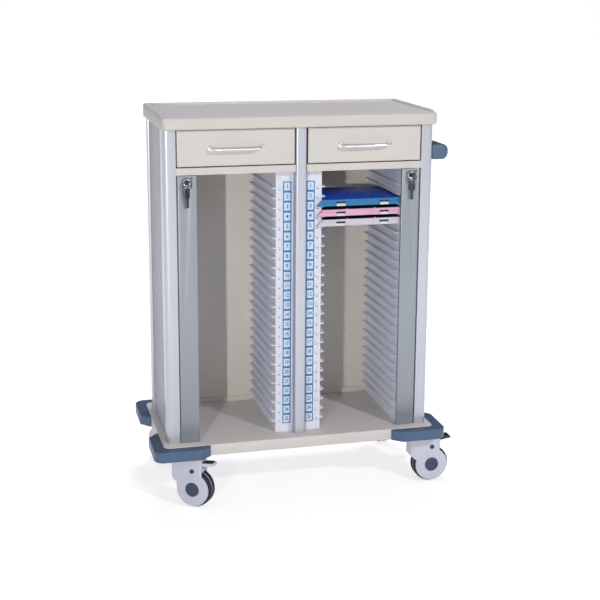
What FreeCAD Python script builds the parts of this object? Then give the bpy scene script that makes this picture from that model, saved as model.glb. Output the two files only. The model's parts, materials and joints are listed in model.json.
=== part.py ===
import FreeCAD, Part
import os

# Medical chart trolley. Millimetres. +Z up, the front faces -Y.
# The origin is on the floor, under the middle of the outline (see TO_ORIGIN).

V = FreeCAD.Vector
UP = V(0, 0, 1)

# ---------------------------------------------------------------- driving dimensions
# Top and base boards
TOP_WIDTH = 720.0
TOP_DEPTH = 350.0
TOP_THICKNESS = 30.0
TOP_CORNER_R = 16.0
TOP_EDGE_R = 5.0
RIM_WIDTH = 11.0
RIM_HEIGHT = 6.0
RIM_RUN_OUT = 40.0
BASE_OVERHANG_SIDE = 8.0
BASE_OVERHANG_FRONT = 10.0
BASE_THICKNESS = 30.0
BASE_CLEARANCE = 143.0
BASE_CORNER_R = 16.0
BASE_EDGE_R = 2.0

# Posts and the tie rods inside them
POST_HEIGHT = 819.0
POST_WIDTH = 33.0
POST_DEPTH = 42.0
POST_CORNER_R = 13.0
POST_WALL = 7.0
POST_SETBACK_SIDE = 5.0
POST_SETBACK_FRONT = 18.0
CENTRE_POST_WIDTH = 30.0
CENTRE_POST_DEPTH = 28.0
CENTRE_POST_CORNER_R = 4.0
ROD_R = 4.0
ROD_WALL = 2.0
ROD_TOP_ENGAGE = 18.0
ROD_HEAD_R = 7.0
ROD_HEAD_HEIGHT = 3.0

# Sheet panels
SIDE_PANEL_THICKNESS = 4.0
SIDE_PANEL_RECESS = 4.0
BACK_PANEL_THICKNESS = 2.5
BACK_PANEL_RECESS = 6.0
PANEL_GROOVE_DEPTH = 5.0
PANEL_CLEARANCE = 0.2
BACK_HEM_HEIGHT = 14.0
BACK_HEM_DEPTH = 8.0
HEM_CLEARANCE = 2.0
DIVIDER_WALL = 1.5

# Drawer shelf and drawers
RAIL_HEIGHT = 18.0
RAIL_DEPTH = 10.0
SHELF_THICKNESS = 2.5
DRAWER_GAP = 2.5
DRAWER_FRONT_HEIGHT = 91.0
DRAWER_FRONT_THICKNESS = 18.0
DRAWER_FRONT_EDGE_R = 3.0
DRAWER_WALL = 1.5
DRAWER_BOX_HEIGHT = 68.0
DRAWER_BOX_LENGTH = 270.0
DRAWER_BOX_RISE = 6.0
SLIDE_THICKNESS = 12.5
SLIDE_HEIGHT = 35.0
SLIDE_LENGTH = 262.0
SLIDE_WALL = 2.0
SLIDE_GAP = 0.3
HANDLE_SPAN = 128.0
HANDLE_STANDOFF = 26.0
HANDLE_BAR_R = 4.5
HANDLE_BEND_R = 20.0

# Chart racks
SLOT_COUNT = 25
FIRST_RUNNER_ABOVE_BASE = 33.0
LAST_RUNNER_BELOW_RAIL = 43.2
RACK_SETBACK = 26.0
RACK_BODY_WIDTH = 46.0
RACK_WALL = 3.0
RACK_RIB_WIDTH = 7.5
RACK_GROOVE_WIDTH = 6.0
RACK_GROOVE_DEPTH = 1.5
SLOT_HOLE_R = 1.6
SLOT_HOLE_DROP = 6.5
RUNNER_REACH = 11.5
RUNNER_TIP_FLAT = 1.5
RUNNER_THICKNESS = 3.0
RUNNER_LIP = 3.0
RUNNER_END_GAP = 3.0
STRIP_WIDTH = 22.0
STRIP_THICKNESS = 1.5
STRIP_MARGIN = 5.0
STRIP_GAP = 1.0
NUMBER_RISE = 2.0

# Lock bars
BAR_WIDTH = 50.0
BAR_THICKNESS = 10.0
BAR_WALL = 2.5
BAR_EDGE_R = 2.0
BAR_SIDE_GAP = 1.5
BAR_END_GAP = 1.5
BAR_PIVOT_R = 3.0
BAR_PIVOT_ENGAGE = 11.0
PIN_CLEARANCE = 0.05
LOCK_BELOW_RAIL = 18.0
LOCK_BARREL_R = 8.0
LOCK_BEZEL_R = 10.0
LOCK_BEZEL_HEIGHT = 3.0
LOCK_PLUG_R = 5.5
LOCK_PLUG_PROUD = 1.0
CAM_LENGTH = 24.0
CAM_WIDTH = 9.0
CAM_THICKNESS = 1.5
CAM_GAP = 0.3
KEY_THICKNESS = 2.0
KEY_SHANK_WIDTH = 7.0
KEY_SHANK_LENGTH = 8.0
KEY_BOW_R = 9.0
KEY_HOLE_R = 3.0
KEY_RING_R = 11.0
KEY_WIRE_R = 1.0
KEY_RING_GAP = 0.5
SPARE_BOW_LENGTH = 28.0
SPARE_BLADE_LENGTH = 22.0
SPARE_HANG = 1.0
SPARE_KEY_TURN = 45.0

# Push handle on the right side
PUSH_REACH = 49.0
PUSH_HEIGHT = 40.0
PUSH_GRIP_WIDTH = 24.0
PUSH_ARM_WIDTH = 28.0
PUSH_CORNER_R = 18.0
PUSH_GAP_CORNER_R = 6.0
PUSH_CENTRE_BELOW_TOP = 105.0

# Corner bumpers
BUMPER_REACH = 28.0
BUMPER_ARM = 120.0
BUMPER_CORNER_R = 26.0
BUMPER_TAPER = 26.0
BUMPER_END_WIDTH = 6.0
BUMPER_DROP = 1.0
BUMPER_EDGE_R = 3.0

# Casters: in the caster's own frame the swivel axis is at x = 0 and the wheel trails to +x
CASTER_LEFT_INSET = 52.0
CASTER_RIGHT_INSET = 32.0
CASTER_INSET_Y = 48.0
CASTER_PLATE = 60.0
CASTER_PLATE_THICKNESS = 4.0
CASTER_PLATE_CORNER_R = 6.0
STEM_R = 8.0
STEM_LENGTH = 36.0
STEM_END_GAP = 0.5
SWIVEL_GAP = 2.0
TRAIL = 40.0
WHEEL_R = 50.0
WHEEL_WIDTH = 30.0
TREAD_THICKNESS = 9.0
WHEEL_EDGE_R = 5.0
COVER_THICKNESS = 5.0
COVER_GAP = 1.5
COVER_R = 45.0
HOOD_CLEARANCE = 5.0
HOOD_FRONT = 22.0
HOOD_BACK = 66.0
HOOD_FRONT_DROP = 56.0
HOOD_BACK_DROP = 53.0
HOOD_CHIN = 14.0
HOOD_CORNER_R = 8.0
RIVET_R = 5.0
RIVET_PROUD = 2.0
RIVET_ABOVE_AXLE = 51.0
AXLE_R = 6.0
HUB_CAP_R = 19.0
HUB_CAP_HEIGHT = 3.0
HUB_CAP_EDGE_R = 1.5
PEDAL_PIVOT_R = 3.0
PEDAL_PIVOT_X = 48.0
PEDAL_PIVOT_BELOW_HOOD = 21.0
PEDAL_PIN_COVER = 3.0
PEDAL_BOSS_R = 6.0
PEDAL_LENGTH = 50.0
PEDAL_WIDTH = 24.0
PEDAL_RISE = 10.0
PEDAL_TIP_HEIGHT = 7.0
PEDAL_ROOT_HEIGHT = 10.0
PEDAL_SLOT_BELOW = 8.0
PEDAL_SLOT_ABOVE = 12.0
PEDAL_GAP = 0.3
FRONT_LEFT_TURN = -36.0
FRONT_RIGHT_TURN = 0.0
REAR_LEFT_TURN = 104.0
REAR_RIGHT_TURN = 90.0

# Chart folders lying in the right bay
FOLDER_SLOTS = {"blue": 3, "pink": 4, "white": 5}
FOLDER_DEPTH = 190.0
FOLDER_THICKNESS = 18.0
FOLDER_SIDE_GAP = 1.5
FOLDER_SPINE_GAP = 0.5
FOLDER_SPINE_OVERLAP = 15.0
FOLDER_SPINE_CHAMFER = 7.0
FOLDER_COVER = 4.0
FOLDER_PAGE_INSET = 3.0
CLIP_WIDTH = 24.0
CLIP_SPACING = 118.0
CLIP_THICKNESS = 1.0
CLIP_TOP_REACH = 9.0

# ---------------------------------------------------------------- worked out from them
BASE_WIDTH = TOP_WIDTH + 2 * BASE_OVERHANG_SIDE
BASE_DEPTH = TOP_DEPTH + 2 * BASE_OVERHANG_FRONT
BASE_TOP = BASE_CLEARANCE + BASE_THICKNESS
TOP_UNDERSIDE = BASE_TOP + POST_HEIGHT
TOP_SURFACE = TOP_UNDERSIDE + TOP_THICKNESS
POST_OUTER_X = TOP_WIDTH / 2 - POST_SETBACK_SIDE
POST_INNER_X = POST_OUTER_X - POST_WIDTH
POST_FRONT_Y = -(TOP_DEPTH / 2 - POST_SETBACK_FRONT)
ROD_X = POST_OUTER_X - POST_WIDTH / 2
ROD_Y = -POST_FRONT_Y - POST_DEPTH / 2
BAY_INNER_X = CENTRE_POST_WIDTH / 2
BAY_CENTRE_X = (BAY_INNER_X + POST_INNER_X) / 2
BACK_FACE_Y = -POST_FRONT_Y - BACK_PANEL_RECESS - BACK_PANEL_THICKNESS
RAIL_BOTTOM = TOP_UNDERSIDE - 2 * DRAWER_GAP - DRAWER_FRONT_HEIGHT - RAIL_HEIGHT
SHELF_TOP = RAIL_BOTTOM + RAIL_HEIGHT
SLOT_PITCH = ((RAIL_BOTTOM - LAST_RUNNER_BELOW_RAIL - BASE_TOP - FIRST_RUNNER_ABOVE_BASE)
              / (SLOT_COUNT - 1))
SHELF_UNDERSIDE = SHELF_TOP - SHELF_THICKNESS
DRAWER_BOTTOM = SHELF_TOP + DRAWER_GAP
DRAWER_BACK_OF_FRONT = POST_FRONT_Y + DRAWER_FRONT_THICKNESS
RACK_FRONT_Y = POST_FRONT_Y + RACK_SETBACK
BAR_BACK_Y = POST_FRONT_Y + BAR_THICKNESS
BAR_OUTER_X = POST_INNER_X - BAR_SIDE_GAP
BAR_PIVOT_X = BAR_OUTER_X - BAR_THICKNESS / 2
BAR_PIVOT_Y = POST_FRONT_Y + BAR_THICKNESS / 2
BAR_BOTTOM = BASE_TOP + BAR_END_GAP
BAR_TOP = RAIL_BOTTOM - BAR_END_GAP
LOCK_X = BAR_OUTER_X - BAR_WIDTH / 2
LOCK_Z = RAIL_BOTTOM - LOCK_BELOW_RAIL
PLUG_FACE_Y = POST_FRONT_Y - LOCK_BEZEL_HEIGHT - LOCK_PLUG_PROUD
FOLDER_FRONT_Y = BAR_BACK_Y + FOLDER_SPINE_GAP
FOLDER_SPINE_BACK_Y = RACK_FRONT_Y - RUNNER_LIP - FOLDER_SPINE_GAP
FOLDER_HALF_WIDTH = POST_INNER_X - BAY_CENTRE_X - RACK_BODY_WIDTH - FOLDER_SIDE_GAP
LEFT_CASTER_X = CASTER_LEFT_INSET - BASE_WIDTH / 2
RIGHT_CASTER_X = BASE_WIDTH / 2 - CASTER_RIGHT_INSET
CASTER_Y = BASE_DEPTH / 2 - CASTER_INSET_Y
HOOD_TOP = BASE_CLEARANCE - CASTER_PLATE_THICKNESS - SWIVEL_GAP
HOOD_HALF_WIDTH = WHEEL_WIDTH / 2 + COVER_GAP + COVER_THICKNESS
PEDAL_PIVOT_Z = HOOD_TOP - PEDAL_PIVOT_BELOW_HOOD

# The push handle, pedals and rear wheels reach out unevenly, so the middle of the
# outline lies beside the middle of the boards. Every piece is moved by TO_ORIGIN.
OUTLINE_LEFT = -BASE_WIDTH / 2 - BUMPER_REACH
OUTLINE_RIGHT = max(POST_OUTER_X + PUSH_REACH, RIGHT_CASTER_X + PEDAL_PIVOT_X + PEDAL_LENGTH)
OUTLINE_FRONT = -BASE_DEPTH / 2 - BUMPER_REACH
OUTLINE_BACK = CASTER_Y + TRAIL + WHEEL_R
TO_ORIGIN = V(-(OUTLINE_LEFT + OUTLINE_RIGHT) / 2, -(OUTLINE_FRONT + OUTLINE_BACK) / 2, 0)


def runner_top(slot):
    """Height of the runner that carries a slot; slot 1 is the highest."""
    lowest = BASE_TOP + FIRST_RUNNER_ABOVE_BASE
    return lowest + (SLOT_COUNT - slot) * SLOT_PITCH


# ---------------------------------------------------------------- helpers
def box(x0, y0, z0, x1, y1, z1):
    low = V(min(x0, x1), min(y0, y1), min(z0, z1))
    return Part.makeBox(abs(x1 - x0), abs(y1 - y0), abs(z1 - z0), low)


def cylinder(r, start, end):
    axis = end.sub(start)
    return Part.makeCylinder(r, axis.Length, start, axis)


def shaft(r, x, y, z, height):
    """Upright cylinder that starts at z; a negative height reaches down."""
    return Part.makeCylinder(r, abs(height), V(x, y, min(z, z + height)))


def prism(points, direction):
    """Extrude a closed outline of (x, y, z) points."""
    corners = [V(*point) for point in points]
    face = Part.Face(Part.makePolygon(corners + corners[:1]))
    return face.extrude(direction)


def upright_edges(shape, test):
    """Vertical edges whose (x, y) passes the test."""
    found = []
    for edge in shape.Edges:
        if len(edge.Vertexes) != 2:
            continue
        a, b = edge.Vertexes[0].Point, edge.Vertexes[1].Point
        if abs(a.x - b.x) < 1e-6 and abs(a.y - b.y) < 1e-6 and test(a.x, a.y):
            found.append(edge)
    return found


def level_edges(shape, height):
    """Edges that lie wholly at one height."""
    return [edge for edge in shape.Edges
            if all(abs(v.Point.z - height) < 1e-6 for v in edge.Vertexes)
            and abs(edge.CenterOfMass.z - height) < 1e-6]


def edges_at_y(shape, y):
    """Edges that lie wholly in one upright plane across the depth."""
    return [edge for edge in shape.Edges
            if all(abs(v.Point.y - y) < 1e-6 for v in edge.Vertexes)
            and abs(edge.CenterOfMass.y - y) < 1e-6]


def mirrored_x(shape):
    return shape.mirror(V(0, 0, 0), V(1, 0, 0))


def mirrored_y(shape):
    return shape.mirror(V(0, 0, 0), V(0, 1, 0))


def on_side(shape, side):
    """A piece drawn for the right side, as it is or mirrored to the left."""
    return shape if side > 0 else mirrored_x(shape)


def rounded_slab(width, depth, bottom, thickness, corner_r):
    slab = box(-width / 2, -depth / 2, bottom, width / 2, depth / 2, bottom + thickness)
    return slab.makeFillet(corner_r, upright_edges(slab, lambda x, y: True))


def save(name, solids):
    solids = solids if isinstance(solids, list) else [solids]
    shape = solids[0].copy() if len(solids) == 1 else Part.makeCompound(solids)
    shape.translate(TO_ORIGIN)
    shape.exportStep("parts/" + name + ".step")


# ---------------------------------------------------------------- boards
def rod_places():
    return [(side * ROD_X, face * ROD_Y) for side in (-1, 1) for face in (-1, 1)]


def top_board():
    slab = rounded_slab(TOP_WIDTH, TOP_DEPTH, TOP_UNDERSIDE, TOP_THICKNESS, TOP_CORNER_R)
    slab = slab.makeFillet(TOP_EDGE_R, level_edges(slab, TOP_UNDERSIDE))
    rim = rounded_slab(TOP_WIDTH, TOP_DEPTH, TOP_SURFACE, RIM_HEIGHT, TOP_CORNER_R)
    well_x = TOP_WIDTH / 2 - RIM_WIDTH
    well = box(-well_x, -TOP_DEPTH, TOP_SURFACE,
               well_x, TOP_DEPTH / 2 - RIM_WIDTH, TOP_SURFACE + RIM_HEIGHT)
    well = well.makeFillet(TOP_CORNER_R, upright_edges(well, lambda x, y: y > 0))
    run_out = prism([(-TOP_WIDTH, -TOP_DEPTH / 2, TOP_SURFACE),
                     (-TOP_WIDTH, -TOP_DEPTH / 2 + RIM_RUN_OUT, TOP_SURFACE + RIM_HEIGHT),
                     (-TOP_WIDTH, -TOP_DEPTH / 2, TOP_SURFACE + RIM_HEIGHT)],
                    V(2 * TOP_WIDTH, 0, 0))
    board = slab.fuse(rim.cut(well).cut(run_out)).removeSplitter()
    for x, y in rod_places():
        board = board.cut(shaft(ROD_R + PIN_CLEARANCE, x, y, TOP_UNDERSIDE, ROD_TOP_ENGAGE))
    return board


def base_slab():
    return rounded_slab(BASE_WIDTH, BASE_DEPTH, BASE_CLEARANCE, BASE_THICKNESS, BASE_CORNER_R)


def base_board():
    board = base_slab()
    board = board.makeFillet(BASE_EDGE_R, level_edges(board, BASE_TOP))
    for side in (-1, 1):
        board = board.cut(shaft(BAR_PIVOT_R + PIN_CLEARANCE, side * BAR_PIVOT_X, BAR_PIVOT_Y,
                                BASE_TOP, -BAR_PIVOT_ENGAGE))
    for x, y in rod_places():
        board = board.cut(shaft(ROD_R + PIN_CLEARANCE, x, y, BASE_CLEARANCE, BASE_THICKNESS))
        board = board.cut(shaft(ROD_HEAD_R + PIN_CLEARANCE, x, y, BASE_CLEARANCE, ROD_HEAD_HEIGHT))
    return board


def tie_rods():
    length = BASE_THICKNESS + POST_HEIGHT + ROD_TOP_ENGAGE
    return [shaft(ROD_R, x, y, BASE_CLEARANCE, length)
            .fuse(shaft(ROD_HEAD_R, x, y, BASE_CLEARANCE, ROD_HEAD_HEIGHT)).removeSplitter()
            for x, y in rod_places()]


# ---------------------------------------------------------------- posts and panels
def corner_post(side, face):
    """Hollow extrusion at x side -1 or 1 and at the front (face -1) or the rear (face 1)."""
    rear_y = POST_FRONT_Y + POST_DEPTH
    post = box(POST_INNER_X, POST_FRONT_Y, BASE_TOP, POST_OUTER_X, rear_y, TOP_UNDERSIDE)
    post = post.makeFillet(POST_CORNER_R, upright_edges(
        post, lambda x, y: x > POST_OUTER_X - 1 and y < POST_FRONT_Y + 1))
    web = ROD_R + PIN_CLEARANCE + ROD_WALL
    for y0, y1 in ((POST_FRONT_Y + POST_WALL, -ROD_Y - web), (-ROD_Y + web, rear_y - POST_WALL)):
        post = post.cut(box(POST_INNER_X + POST_WALL, y0, BASE_TOP,
                            POST_OUTER_X - POST_WALL, y1, TOP_UNDERSIDE))
    post = post.cut(shaft(ROD_R + PIN_CLEARANCE, ROD_X, -ROD_Y, BASE_TOP, POST_HEIGHT))
    groove_x = POST_OUTER_X - SIDE_PANEL_RECESS + PANEL_CLEARANCE
    post = post.cut(box(groove_x, rear_y - PANEL_GROOVE_DEPTH, BASE_TOP,
                        groove_x - SIDE_PANEL_THICKNESS - 2 * PANEL_CLEARANCE, rear_y, TOP_UNDERSIDE))
    if face > 0:
        groove_y = -BACK_FACE_Y + PANEL_CLEARANCE
        post = post.cut(box(POST_INNER_X, groove_y, BASE_TOP, POST_INNER_X + PANEL_GROOVE_DEPTH,
                            groove_y - BACK_PANEL_THICKNESS - 2 * PANEL_CLEARANCE, TOP_UNDERSIDE))
        post = mirrored_y(post)
    return on_side(post, side)


def centre_post():
    half = CENTRE_POST_WIDTH / 2
    rear_y = POST_FRONT_Y + CENTRE_POST_DEPTH
    post = box(-half, POST_FRONT_Y, BASE_TOP, half, rear_y, TOP_UNDERSIDE)
    post = post.makeFillet(CENTRE_POST_CORNER_R, upright_edges(
        post, lambda x, y: y < POST_FRONT_Y + 1))
    return post.cut(box(-half + POST_WALL, POST_FRONT_Y + POST_WALL, BASE_TOP,
                        half - POST_WALL, rear_y - POST_WALL, TOP_UNDERSIDE))


def side_panel(side):
    reach = -POST_FRONT_Y - POST_DEPTH + PANEL_GROOVE_DEPTH - PANEL_CLEARANCE
    outer_x = POST_OUTER_X - SIDE_PANEL_RECESS
    return on_side(box(outer_x - SIDE_PANEL_THICKNESS, -reach, BASE_TOP,
                       outer_x, reach, TOP_UNDERSIDE), side)


def back_panel():
    """Sheet between the rear posts, with a hem at the foot of each bay."""
    half = POST_INNER_X + PANEL_GROOVE_DEPTH - PANEL_CLEARANCE
    panel = box(-half, BACK_FACE_Y, BASE_TOP, half, BACK_FACE_Y + BACK_PANEL_THICKNESS, TOP_UNDERSIDE)
    rack_width = RACK_BODY_WIDTH + RUNNER_REACH + HEM_CLEARANCE
    hem = box(BAY_INNER_X + rack_width, BACK_FACE_Y - BACK_HEM_DEPTH, BASE_TOP,
              POST_INNER_X - rack_width, BACK_FACE_Y, BASE_TOP + BACK_HEM_HEIGHT)
    return panel.fuse([hem, mirrored_x(hem)]).removeSplitter()


def divider_panel():
    """Box section between the bays, from the centre post to the back panel."""
    front_y = POST_FRONT_Y + CENTRE_POST_DEPTH
    outer = box(-BAY_INNER_X, front_y, BASE_TOP, BAY_INNER_X, BACK_FACE_Y, TOP_UNDERSIDE)
    return outer.cut(box(-BAY_INNER_X + DIVIDER_WALL, front_y + DIVIDER_WALL, BASE_TOP,
                         BAY_INNER_X - DIVIDER_WALL, BACK_FACE_Y - DIVIDER_WALL, TOP_UNDERSIDE))


def drawer_shelves():
    """A shelf over each bay with a rail along its front edge."""
    plate = box(BAY_INNER_X, POST_FRONT_Y, SHELF_UNDERSIDE, POST_INNER_X, BACK_FACE_Y, SHELF_TOP)
    rail = box(BAY_INNER_X, POST_FRONT_Y, RAIL_BOTTOM, POST_INNER_X, POST_FRONT_Y + RAIL_DEPTH, SHELF_TOP)
    shelf = plate.fuse(rail).removeSplitter()
    shelf = shelf.cut(shaft(BAR_PIVOT_R + PIN_CLEARANCE, BAR_PIVOT_X, BAR_PIVOT_Y,
                            RAIL_BOTTOM, BAR_PIVOT_ENGAGE))
    return [shelf, mirrored_x(shelf)]


# ---------------------------------------------------------------- chart racks
def rack_sides():
    """(name, outer x, inward direction) of the four rack columns."""
    return [("left_outer", -POST_INNER_X, 1), ("left_inner", -BAY_INNER_X, -1),
            ("right_inner", BAY_INNER_X, 1), ("right_outer", POST_INNER_X, -1)]


def rack_column(outer_x, inward):
    """Channel beside a bay: grooved front face, wall behind it, rear flange."""
    inner_x = outer_x + inward * RACK_BODY_WIDTH
    front = box(outer_x, RACK_FRONT_Y, BASE_TOP, inner_x, RACK_FRONT_Y + RACK_WALL, SHELF_UNDERSIDE)
    wall = box(inner_x, RACK_FRONT_Y, BASE_TOP, inner_x - inward * RACK_WALL, BACK_FACE_Y, SHELF_UNDERSIDE)
    rear = box(outer_x, BACK_FACE_Y - RACK_WALL, BASE_TOP, inner_x, BACK_FACE_Y, SHELF_UNDERSIDE)
    column = front.fuse([wall, rear]).removeSplitter()
    groove_x = inner_x - inward * RACK_RIB_WIDTH
    column = column.cut(box(groove_x, RACK_FRONT_Y, BASE_TOP, groove_x - inward * RACK_GROOVE_WIDTH,
                            RACK_FRONT_Y + RACK_GROOVE_DEPTH, SHELF_UNDERSIDE))
    hole_x = groove_x - inward * RACK_GROOVE_WIDTH / 2
    holes = []
    for slot in range(1, SLOT_COUNT + 1):
        height = runner_top(slot) - SLOT_HOLE_DROP
        holes.append(cylinder(SLOT_HOLE_R, V(hole_x, RACK_FRONT_Y, height),
                              V(hole_x, RACK_FRONT_Y + RACK_WALL, height)))
    return column.cut(holes)


def slot_runner(outer_x, inward, top):
    """Shelf strip of one slot: a lip across the column's face and an arm along its wall."""
    lip_start = outer_x + inward * (STRIP_MARGIN + STRIP_WIDTH + STRIP_GAP)
    wall_x = outer_x + inward * RACK_BODY_WIDTH
    tip_x = wall_x + inward * RUNNER_REACH
    lip_y = RACK_FRONT_Y - RUNNER_LIP
    low = top - RUNNER_THICKNESS
    arm = box(wall_x, lip_y, low, tip_x, BACK_FACE_Y - RUNNER_END_GAP, top)
    arm = arm.makeFillet(RUNNER_REACH - RUNNER_TIP_FLAT, upright_edges(
        arm, lambda x, y: abs(x - tip_x) < 1 and abs(y - lip_y) < 1))
    return arm.fuse(box(lip_start, lip_y, low, wall_x, RACK_FRONT_Y, top)).removeSplitter()


def slot_runners():
    return [slot_runner(outer_x, inward, runner_top(slot))
            for _, outer_x, inward in rack_sides()
            for slot in range(1, SLOT_COUNT + 1)]


def number_strip(outer_x, inward):
    near = outer_x + inward * STRIP_MARGIN
    low = runner_top(SLOT_COUNT) + NUMBER_RISE - SLOT_PITCH / 2
    return box(near, RACK_FRONT_Y - STRIP_THICKNESS, low,
               near + inward * STRIP_WIDTH, RACK_FRONT_Y, low + SLOT_COUNT * SLOT_PITCH)


# ---------------------------------------------------------------- drawers
def drawer_front(side):
    panel = box(BAY_INNER_X + DRAWER_GAP, POST_FRONT_Y, DRAWER_BOTTOM,
                POST_INNER_X - DRAWER_GAP, DRAWER_BACK_OF_FRONT, DRAWER_BOTTOM + DRAWER_FRONT_HEIGHT)
    return on_side(panel.makeFillet(DRAWER_FRONT_EDGE_R, edges_at_y(panel, POST_FRONT_Y)), side)


def drawer_box(side):
    """Open tray between the slides."""
    x0, x1 = BAY_INNER_X + SLIDE_THICKNESS, POST_INNER_X - SLIDE_THICKNESS
    y0, y1 = DRAWER_BACK_OF_FRONT, DRAWER_BACK_OF_FRONT + DRAWER_BOX_LENGTH
    z0 = DRAWER_BOTTOM + DRAWER_BOX_RISE
    z1 = z0 + DRAWER_BOX_HEIGHT
    outer = box(x0, y0, z0, x1, y1, z1)
    inner = box(x0 + DRAWER_WALL, y0 + DRAWER_WALL, z0 + DRAWER_WALL,
                x1 - DRAWER_WALL, y1 - DRAWER_WALL, z1)
    return on_side(outer.cut(inner), side)


def drawer_handle(side):
    """Round bar bent to a bow between two feet on the drawer's front."""
    z = DRAWER_BOTTOM + DRAWER_FRONT_HEIGHT / 2
    left, right = BAY_CENTRE_X - HANDLE_SPAN / 2, BAY_CENTRE_X + HANDLE_SPAN / 2
    out_y = POST_FRONT_Y - HANDLE_STANDOFF
    bend = HANDLE_BEND_R
    inset = bend * (1 - 0.5 ** 0.5)
    path = Part.Wire([
        Part.LineSegment(V(left, POST_FRONT_Y, z), V(left, out_y + bend, z)).toShape(),
        Part.Arc(V(left, out_y + bend, z), V(left + inset, out_y + inset, z),
                 V(left + bend, out_y, z)).toShape(),
        Part.LineSegment(V(left + bend, out_y, z), V(right - bend, out_y, z)).toShape(),
        Part.Arc(V(right - bend, out_y, z), V(right - inset, out_y + inset, z),
                 V(right, out_y + bend, z)).toShape(),
        Part.LineSegment(V(right, out_y + bend, z), V(right, POST_FRONT_Y, z)).toShape()])
    ring = Part.Wire(Part.makeCircle(HANDLE_BAR_R, V(left, POST_FRONT_Y, z), V(0, 1, 0)))
    return on_side(path.makePipeShell([ring], True, False), side)


def channel(web_x, reach, y0, z0, height):
    """C section along Y: the web stands at web_x, the flanges reach from it."""
    wall_x = SLIDE_WALL if reach > 0 else -SLIDE_WALL
    outer = box(web_x, y0, z0, web_x + reach, y0 + SLIDE_LENGTH, z0 + height)
    return outer.cut(box(web_x + wall_x, y0, z0 + SLIDE_WALL,
                         web_x + reach, y0 + SLIDE_LENGTH, z0 + height - SLIDE_WALL))


def slide_places():
    """(x of the cabinet's wall, inward direction) of the two slides of the right drawer."""
    return [(BAY_INNER_X, 1), (POST_INNER_X, -1)]


def slide_bottom():
    return DRAWER_BOTTOM + DRAWER_BOX_RISE + (DRAWER_BOX_HEIGHT - SLIDE_HEIGHT) / 2


def outer_rails(side):
    """Channels screwed to the cabinet."""
    return [on_side(channel(wall_x, inward * (SLIDE_THICKNESS - SLIDE_WALL / 2),
                            DRAWER_BACK_OF_FRONT + SLIDE_GAP, slide_bottom(), SLIDE_HEIGHT), side)
            for wall_x, inward in slide_places()]


def inner_rails(side):
    """Channels on the drawer, nested in the outer ones with a running gap."""
    inset = SLIDE_WALL + SLIDE_GAP
    return [on_side(channel(wall_x + inward * SLIDE_THICKNESS, -inward * (SLIDE_THICKNESS - inset),
                            DRAWER_BACK_OF_FRONT, slide_bottom() + inset, SLIDE_HEIGHT - 2 * inset), side)
            for wall_x, inward in slide_places()]


# ---------------------------------------------------------------- lock bars
def lock_cylinder(r, y0, y1):
    return cylinder(r, V(LOCK_X, y0, LOCK_Z), V(LOCK_X, y1, LOCK_Z))


def lock_bar(side):
    """Strip with a round hinge edge, hollow at the back between its solid ends."""
    x0 = BAR_OUTER_X - BAR_WIDTH
    strip = box(x0, POST_FRONT_Y, BAR_BOTTOM, BAR_PIVOT_X, BAR_BACK_Y, BAR_TOP)
    strip = strip.makeFillet(BAR_EDGE_R, upright_edges(strip, lambda x, y: x < x0 + 1))
    hinge_edge = shaft(BAR_THICKNESS / 2, BAR_PIVOT_X, BAR_PIVOT_Y, BAR_BOTTOM, BAR_TOP - BAR_BOTTOM)
    bar = strip.fuse(hinge_edge).removeSplitter()
    bar = bar.cut(box(x0 + BAR_WALL, POST_FRONT_Y + BAR_WALL, BAR_BOTTOM + BAR_THICKNESS,
                      BAR_PIVOT_X - BAR_THICKNESS / 2, BAR_BACK_Y, BAR_TOP - BAR_THICKNESS / 2))
    for end, inward in ((BAR_BOTTOM, 1), (BAR_TOP, -1)):
        bar = bar.cut(shaft(BAR_PIVOT_R + PIN_CLEARANCE, BAR_PIVOT_X, BAR_PIVOT_Y,
                            end, inward * BAR_PIVOT_ENGAGE))
    bar = bar.cut(lock_cylinder(LOCK_BARREL_R + PIN_CLEARANCE, POST_FRONT_Y, POST_FRONT_Y + BAR_WALL))
    return on_side(bar, side)


def lock_bar_pivots():
    pins = []
    for surface in (BASE_TOP, RAIL_BOTTOM):
        pin = shaft(BAR_PIVOT_R, BAR_PIVOT_X, BAR_PIVOT_Y,
                    surface - BAR_PIVOT_ENGAGE, 2 * BAR_PIVOT_ENGAGE)
        pins += [pin, mirrored_x(pin)]
    return pins


def spare_key():
    """Flat key in the YZ plane that hangs by its hole from a wire at the origin."""
    half = KEY_THICKNESS / 2
    hole_z = -SPARE_HANG
    top_z = hole_z + KEY_HOLE_R + KEY_HOLE_R / 2
    bow = box(-half, -KEY_BOW_R, top_z - SPARE_BOW_LENGTH, half, KEY_BOW_R, top_z)
    bow = bow.makeFillet(KEY_BOW_R * 0.9, [e for e in bow.Edges if abs(e.Length - KEY_THICKNESS) < 1e-6])
    blade = box(-half, -KEY_SHANK_WIDTH / 2, top_z - SPARE_BOW_LENGTH - SPARE_BLADE_LENGTH,
                half, KEY_SHANK_WIDTH / 2, top_z - SPARE_BOW_LENGTH / 2)
    hole = cylinder(KEY_HOLE_R, V(-half, 0, hole_z), V(half, 0, hole_z))
    return bow.fuse(blade).removeSplitter().cut(hole)


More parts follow.
